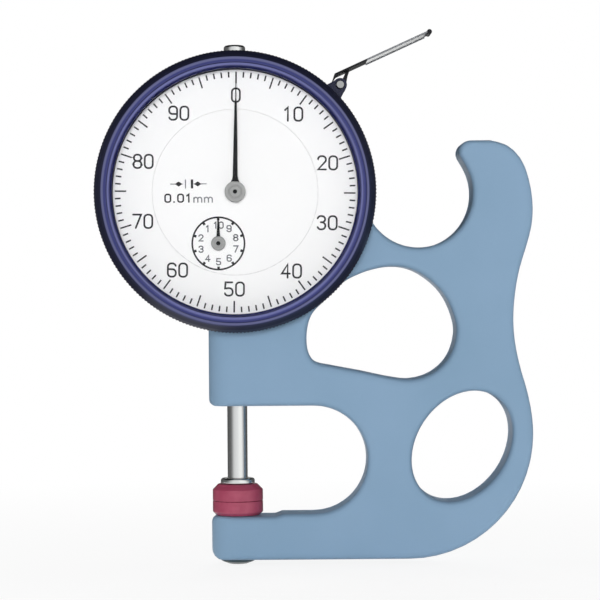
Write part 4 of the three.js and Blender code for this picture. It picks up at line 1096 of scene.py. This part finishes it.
def print_small_dial():
    centre = small_centre()
    lines = stroke(circle(centre, SMALL_RADIUS, RING_STEPS), SMALL_LINE, closed=True)
    numbers = []
    for number in range(10):
        turns = -number / 10
        lines += mark(SMALL_RADIUS - SMALL_TICK, SMALL_RADIUS, turns, SMALL_TICK_WIDTH, centre)
        place = clock_place(SMALL_NUMBER_RADIUS, turns, centre)
        word = str(number) if number else "10"
        numbers += number_shapes(word, place, SMALL_CELL, SMALL_PEN, SMALL_PITCH)
    print_on("small_dial_lines", lines, DIAL_FRONT, dial_ink, "frame")
    print_on("small_dial_numbers", numbers, DIAL_FRONT, grey_ink, "frame")
    print("small dial centre", [round(value, 2) for value in centre], "shapes", len(lines) + len(numbers))


print_small_dial()

# %% [markdown]
# Beside the small dial are the value of one line and two arrows, plain marks that any such dial carries.
# They need two more shapes: the letter m of the unit and the diamond that heads an arrow.

# %% Letter and arrow head
UNIT_WIDTH = 0.76
UNIT_HEIGHT = 1.05
UNIT_PEN = 0.24
ARROW_HEAD = (1.5, 0.48)


def letter_m(left, bottom):
    """A small m from three stems under two arches."""
    reach = UNIT_WIDTH / 2
    top = bottom + UNIT_HEIGHT - reach
    shapes = stroke([(left, bottom), (left, bottom + UNIT_HEIGHT)], UNIT_PEN, round_ends=False)
    for arch in range(2):
        middle = left + reach + arch * UNIT_WIDTH
        shapes += stroke(arc((middle, top), reach, 180, 0) + [(middle + reach, bottom)], UNIT_PEN,
                         round_ends=False)
    return shapes


def diamond(centre, height):
    half_long = ARROW_HEAD[0] / 2
    half_high = ARROW_HEAD[1]
    return [(centre + half_long, height), (centre, height + half_high), (centre - half_long, height),
            (centre, height - half_high)]


print("an m has", len(letter_m(0, 0)), "shapes")

# %% [markdown]
# The value is drawn with nearly the same pen as the outer numbers, the unit with a lighter one. Each
# arrow is a thin line that ends in a solid diamond, and a thin and a bold bar stand between the two.

# %% Value of one line and the arrows
VALUE_CELL = (1.06, 1.5)
VALUE_PEN = 0.31
VALUE_BOTTOM = -2.01
VALUE_PLACES = (("0", -13.15), ("0", -10.65), ("1", -9.15))
POINT_PLACE = -11.95
POINT_LENGTH = 0.04
UNIT_STARTS = (-8.05, -5.98)
ARROW_HEIGHT = 1.65
ARROW_LINE = 0.18
ARROWS = ((-12.66, -11.02, -10.25), (-5.55, -7.29, -8.1))
ARROW_BARS = ((-9.68, 0.22), (-8.4, 0.45))
ARROW_BAR_HALF = 0.88


def print_value():
    dark = []
    middle = VALUE_BOTTOM + (VALUE_CELL[1] + VALUE_PEN) / 2
    for digit, place in VALUE_PLACES:
        dark += number_shapes(digit, (place, middle), VALUE_CELL, VALUE_PEN, 0)
    point = VALUE_BOTTOM + VALUE_PEN / 2
    dark += stroke([(POINT_PLACE, point), (POINT_PLACE + POINT_LENGTH, point)], VALUE_PEN)
    light = []
    for start in UNIT_STARTS:
        light += letter_m(start, VALUE_BOTTOM)
    for tail, head, tip in ARROWS:
        dark.append(diamond(head, ARROW_HEIGHT))
        light += stroke([(tail, ARROW_HEIGHT), (tip, ARROW_HEIGHT)], ARROW_LINE, round_ends=False)
    for (bar, width), shapes in zip(ARROW_BARS, (light, dark)):
        ends = [(bar, ARROW_HEIGHT - ARROW_BAR_HALF), (bar, ARROW_HEIGHT + ARROW_BAR_HALF)]
        shapes.extend(stroke(ends, width, round_ends=False))
    print_on("value_number", dark, DIAL_FRONT, dial_ink, "frame")
    print_on("value_unit_and_arrows", light, DIAL_FRONT, light_ink, "frame")
    print("value shapes", len(dark), "unit and arrow shapes", len(light))


print_value()

# %% [markdown]
# Hands and lever are stamped from flat strip. A function makes such plates from an outline and gives
# them broken edges. The hands are blackened with a thin lacquer, which stays nearly matt.

# %% Flat plates


def make_black_lacquer():
    finish, tree, shader = new_finish("Black_hand_lacquer", "#0E0E10", Roughness=0.5,
                                      Specular_IOR_Level=0.25)
    grain_in_gloss(tree, shader, grain_mm=0.5, lowest=0.42, highest=0.58)
    return finish


def slab(outline, front, back):
    """The near and the far face of a plate that lies flat to the reader, from its (x, z) outline."""
    shape = turned_left(outline)
    return [(x, front, z) for x, z in shape], [(x, back, z) for x, z in shape]


def plates(name, material, slabs, bevel):
    """One piece made of plates, each given by the corners of its two faces."""
    vertices = []
    faces = []
    for near, far in slabs:
        start = len(vertices)
        count = len(near)
        vertices += near + far
        faces.append(tuple(range(start, start + count)))
        faces.append(tuple(reversed(range(start + count, start + 2 * count))))
        faces += side_faces(start, count)
    piece = new_piece(name, material, vertices, faces)
    round_corners(piece, bevel, segments=2)
    print(name, len(slabs), "plates")
    return piece


hand_black = make_black_lacquer()
print(hand_black.name)

# %% [markdown]
# The long hand is flared where it is riveted under its boss, goes on as a slim blade and ends in a
# needle as thin as a line of the scale, so that it can be read between two lines.

# %% Hands
HAND_BEVEL = 0.05
LONG_HAND_WIDTHS = ((0, 0.9), (1.9, 0.85), (2.35, 0.62), (2.9, 0.48), (6.2, 0.42), (10.4, 0.36),
                    (17.4, 0.22), (18.2, 0.1))
NEEDLE_HALF = 0.08
SMALL_HAND_WIDTHS = ((0, 0.4), (1.3, 0.36), (3.2, 0.22))
SMALL_NEEDLE_HALF = 0.13


def hand_outline(centre, widths):
    """Both sides of a straight hand from (distance, half width) pairs along it."""
    right = [(centre[0] + half, centre[1] + far) for far, half in widths]
    left = [(centre[0] - half, centre[1] + far) for far, half in reversed(widths)]
    return right + left


def make_hands():
    outline = hand_outline((0, 0), [*LONG_HAND_WIDTHS, (high_end("main_hand").z, NEEDLE_HALF)])
    long_hand = plates("long_hand", hand_black, [
        slab(turned_to_zero(outline), low_end("main_hand").y, high_end("main_hand").y)], HAND_BEVEL)
    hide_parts("main_hand")
    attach(long_hand, "pointer_assembly")
    centre = small_centre()
    reach = high_end("counter_hand").z - centre[1]
    small_hand = plates("small_hand", hand_black, [
        slab(hand_outline(centre, [*SMALL_HAND_WIDTHS, (reach, SMALL_NEEDLE_HALF)]),
             low_end("counter_hand").y, high_end("counter_hand").y)], HAND_BEVEL)
    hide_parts("counter_hand")
    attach(small_hand, "counter_assembly")
    print("hands reach", round(high_end("main_hand").z, 2), "and", round(reach, 2), "mm")


make_hands()

# %% [markdown]
# Each hand is riveted to a little turned boss, and the black end of the arbor shows in its middle. The
# boss has a steep chamfer and a turned groove, which draw the two darker circles on its face.

# %% Bosses
BOSS_STEPS = 96
PIN_RADIUS = 0.42
PIN_PROUD = 0.1
PIN_STEPS = 48
BOSS_CHAMFER = 0.14
BOSS_CHAMFER_SHARE = 0.65
BOSS_GROOVE_SHARE = 0.5
BOSS_GROOVE_RADII = (0.66, 0.63, 0.53, 0.5)
BOSS_MIDDLE_SUNK = 0.02


def make_boss(name, node, body, centre):
    radius = high_end(node).x - centre[0]
    front = low_end(node).y
    back = high_end(node).y
    rim = front + (back - front) * BOSS_CHAMFER_SHARE
    groove = front + (back - front) * BOSS_GROOVE_SHARE
    middle = front + BOSS_MIDDLE_SUNK
    outer, outer_foot, inner_foot, inner = [radius * share for share in BOSS_GROOVE_RADII]
    boss = turn(name, boss_metal, [
        (0, back, 0), (radius, back, 0.02), (radius, rim, 0.04), (radius - BOSS_CHAMFER, front, 0.04),
        (outer, front, 0.03), (outer_foot, groove, 0.03), (inner_foot, groove, 0.03),
        (inner, middle, 0.03), (0, middle, 0)], centre, BOSS_STEPS)
    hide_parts(node)
    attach(boss, body)
    pin = turn(name + "_pin", hand_black, [
        (0, back, 0), (PIN_RADIUS, back, 0), (PIN_RADIUS, front - PIN_PROUD, 0.05),
        (0, front - PIN_PROUD - 0.03, 0)], centre, PIN_STEPS)
    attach(pin, body)
    print(name, "radius", round(radius, 2))


make_boss("long_hand_boss", "main_hub", "pointer_assembly", (0.0, 0.0))
make_boss("small_hand_boss", "counter_hub", "counter_assembly", small_centre())

# %% [markdown]
# The lifting lever is a pressed steel strip: the thumb pushes its tip down, and an arm inside the case
# lifts the rod. Its rear edge is turned down a little, which makes it stiff, and its tip is rolled to a
# bead, so that it doesn't cut the thumb. The whole lever is blackened and the part under the thumb is
# then polished: the flats come out bright, the root and the bead stay black, and the edges are grey,
# which is partly painted shade that keeps them darker than the flats.

# %% Lifting lever outlines
LEVER_THICKNESS = 0.32
LEVER_MARGIN = 0.35
LEVER_LIP = 0.22
LEVER_BLACK_LENGTH = 7.0
LEVER_DARK_TIP = 1.2
LEVER_TIP_ROUND = 1.3
FILM = 0.03
LEVER_START = Vector((19.81, 23.65))
LEVER_END = Vector((38.8, 32.2))
LEVER_LENGTH = (LEVER_END - LEVER_START).length
LEVER_ALONG = (LEVER_END - LEVER_START).normalized()
LEVER_DOWN = Vector((LEVER_ALONG.y, -LEVER_ALONG.x))
LEVER_FRONT = low_end("lifting_lever").y
LEVER_BACK = high_end("lifting_lever").y


def strip_slab(outline, top, bottom):
    """Both faces of a plate in the plane of the strip, from its (distance along the strip, y) outline."""
    layers = []
    for depth in (top, bottom):
        points = [LEVER_START + LEVER_ALONG * far + LEVER_DOWN * depth for far, across in outline]
        layers.append([(point.x, across, point.y) for point, (far, across) in zip(points, outline)])
    return layers[0], layers[1]


def tongue(start, end, margin, tip_round):
    """A strip with a round tip, seen from above."""
    front = LEVER_FRONT + margin
    back = LEVER_BACK - margin
    return [(start, front), *arc((end - tip_round / 2, front + tip_round / 2), tip_round / 2, -90, 0),
            *arc((end - tip_round, back - tip_round), tip_round, 0, 90), (start, back)]


print("lever node", [round(value, 2) for value in low_end("lifting_lever")],
      [round(value, 2) for value in high_end("lifting_lever")])
print("lever", round(LEVER_LENGTH, 1), "mm long and", round(LEVER_BACK - LEVER_FRONT, 1), "mm wide")

# %% [markdown]
# The black frame of the lever carries the root of the strip, the toe and neck that tie it to its hub, the
# arm inside the case and the bead. The arm reaches from the pivot pin to the rod.

# %% Black frame of the lever
LEVER_BEAD_RADIUS = 0.5
LEVER_BEAD_DEPTH = 4.8
LEVER_BEAD_BACK = 0.24
LEVER_BEAD_DOWN = 0.3
LEVER_BEAD_STEPS = 20
LEVER_BEVEL = 0.08
LEVER_TOE = [(19.2, 21.8), (19.86, 23.62), (20.5, 23.92), (20.9, 23.72), (20.1, 22.95), (19.62, 22.35)]
LEVER_NECK = [(21.2, 21.5), (22.15, 21.5), (22.5, 23.3), (22.95, 24.6), (22.2, 24.3), (21.6, 23.0)]
TOE_DEPTH = 2.2
ARM_END = Vector((-1.6, 9.55))
ARM_HALF = 0.5
ARM_FRONT = -6.7
ARM_BACK = -5.9
HUB_FRONT = -8.85
HUB_BACK = -5.85


def oblong(start, end, front, back):
    return [(start, front), (end, front), (end, back), (start, back)]


def lever_pivot():
    middle = (low_end("lever_pin") + high_end("lever_pin")) / 2
    return Vector((middle.x, middle.z))


def make_lever_frame():
    pivot = lever_pivot()
    across = (ARM_END - pivot).orthogonal().normalized() * ARM_HALF
    bead = LEVER_END - LEVER_ALONG * LEVER_BEAD_BACK + LEVER_DOWN * LEVER_BEAD_DOWN
    return plates("lever_frame", black_oxide, [
        strip_slab(oblong(0, LEVER_BLACK_LENGTH, LEVER_FRONT, LEVER_BACK), 0, LEVER_THICKNESS),
        slab(circle(bead, LEVER_BEAD_RADIUS, LEVER_BEAD_STEPS), LEVER_FRONT, LEVER_FRONT + LEVER_BEAD_DEPTH),
        slab(LEVER_TOE, LEVER_FRONT, LEVER_FRONT + TOE_DEPTH),
        slab(LEVER_NECK, HUB_FRONT, HUB_BACK),
        slab([pivot + across, ARM_END + across, ARM_END - across, pivot - across], ARM_FRONT, ARM_BACK),
    ], LEVER_BEVEL)


lever_frame = make_lever_frame()
print("lever pivot", [round(value, 2) for value in lever_pivot()])

# %% [markdown]
# The grey strip and the bright films on its two flats lie in one plane, and the hub is turned. All four
# pieces swing together with the lever's body.

# %% Strip, flats and hub of the lever
LEVER_HUB_RADIUS = 1.25
LEVER_HUB_STEPS = 64
LEVER_BORE_RADIUS = 0.82


# The strip's grey edges and rim are partly painted shade beside the polished flats.
def make_lever_strip():
    lip_end = LEVER_LENGTH - LEVER_BEAD_BACK - LEVER_BEAD_RADIUS
    lip = oblong(LEVER_BLACK_LENGTH, lip_end, LEVER_BACK - LEVER_MARGIN, LEVER_BACK)
    return plates("lever_strip", lever_edge_grey_and_shade, [
        strip_slab(tongue(LEVER_BLACK_LENGTH, LEVER_LENGTH, 0, LEVER_TIP_ROUND), 0, LEVER_THICKNESS),
        strip_slab(lip, LEVER_THICKNESS - FILM, LEVER_THICKNESS + LEVER_LIP),
    ], LEVER_BEVEL)


def make_lever_flats():
    flat = tongue(LEVER_BLACK_LENGTH, LEVER_LENGTH - LEVER_DARK_TIP, LEVER_MARGIN,
                  LEVER_TIP_ROUND - LEVER_MARGIN)
    return plates("lever_flats", polished_steel, [
        strip_slab(flat, -FILM, FILM), strip_slab(flat, LEVER_THICKNESS - FILM, LEVER_THICKNESS + FILM)],
        FILM / 3)


def make_lever_hub():
    return turn("lever_hub", black_oxide, [
        (LEVER_BORE_RADIUS, HUB_FRONT, 0.05), (LEVER_HUB_RADIUS, HUB_FRONT, 0.1),
        (LEVER_HUB_RADIUS, HUB_BACK, 0.1), (LEVER_BORE_RADIUS, HUB_BACK, 0.05)], lever_pivot(),
        LEVER_HUB_STEPS)


lever_pieces = [lever_frame, make_lever_strip(), make_lever_flats(), make_lever_hub()]
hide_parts("lifting_lever")
for lever_piece in lever_pieces:
    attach(lever_piece, "lever")
print("lever pieces", [piece.name for piece in lever_pieces])

# %% [markdown]
# The bow is one casting, and a casting has no sharp edge anywhere: the sand or the die would not let
# go of it. Its edges are rounded by about half a millimetre, and the enamel softens them. Bevels on so
# many crossing edges would fight each other, so the solid is turned into an even skin of small cells
# and the skin is smoothed, which rounds every edge and also fills every inner corner, as in a casting.

# %% Cast bow
SKIN_CELL_MM = 0.42
SKIN_SMOOTHING = 3
SKIN_SOFTNESS = 0.5


def cast(name, material):
    piece = nodes[name]
    finish_node(name, material)
    skin = piece.modifiers.new("even skin", "REMESH")
    skin.mode = "VOXEL"
    skin.voxel_size = SKIN_CELL_MM * MM
    skin.use_smooth_shade = True
    softening = piece.modifiers.new("soft edges", "SMOOTH")
    softening.factor = SKIN_SOFTNESS
    softening.iterations = SKIN_SMOOTHING
    print(name, "skin cells", SKIN_CELL_MM, "mm")


cast("frame_casting", enamel)

# %% [markdown]
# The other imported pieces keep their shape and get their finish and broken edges. One table says which
# finish and how wide an edge each has, from 0.02 mm on gear teeth to 0.3 mm on the housing.

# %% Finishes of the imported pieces


def numbered(name, count):
    return [f"{name}_{number}" for number in range(1, count + 1)]


FINISHES = [
    (case_paint, 0.3, ("case",)),
    (case_paint, 0.25, ("back_cover",)),
    (polished_steel, 0.25, ("spindle", "spindle_cap")),
    (polished_steel, 0.2, ("contact_collar",)),
    (red_face, 0.13, ("contact_point", "anvil")),
    (foot_paint_and_shade, 0.25, ("anvil_screw",)),
    (ground_steel, 0.12, ("stem", "upper_bush", "bezel_wire", "guide_plate", "spring_post",
                          "hairspring_stud", "lever_pin", "guide_pin")),
    (ground_steel, 0.06, (*numbered("stem_screw", 2), *numbered("cover_screw", 4),
                          *numbered("plate_screw", 3), "cock_screw")),
    (ground_steel, 0.02, ("centre_arbor", "rack_arbor", "takeup_arbor", "measuring_spring")),
    (brass, 0.1, ("front_plate", "middle_plate", "rear_cock", *numbered("pillar", 3))),
    (brass, 0.02, ("counter_wheel", "takeup_wheel")),
    (blued_steel, 0.02, ("hairspring",)),
]


def finish_all():
    done = 0
    for material, edge_mm, names in FINISHES:
        for name in names:
            finish_node(name, material)
            soften(name, edge_mm)
            done += 1
    print("finished", done, "packed pieces")


finish_all()
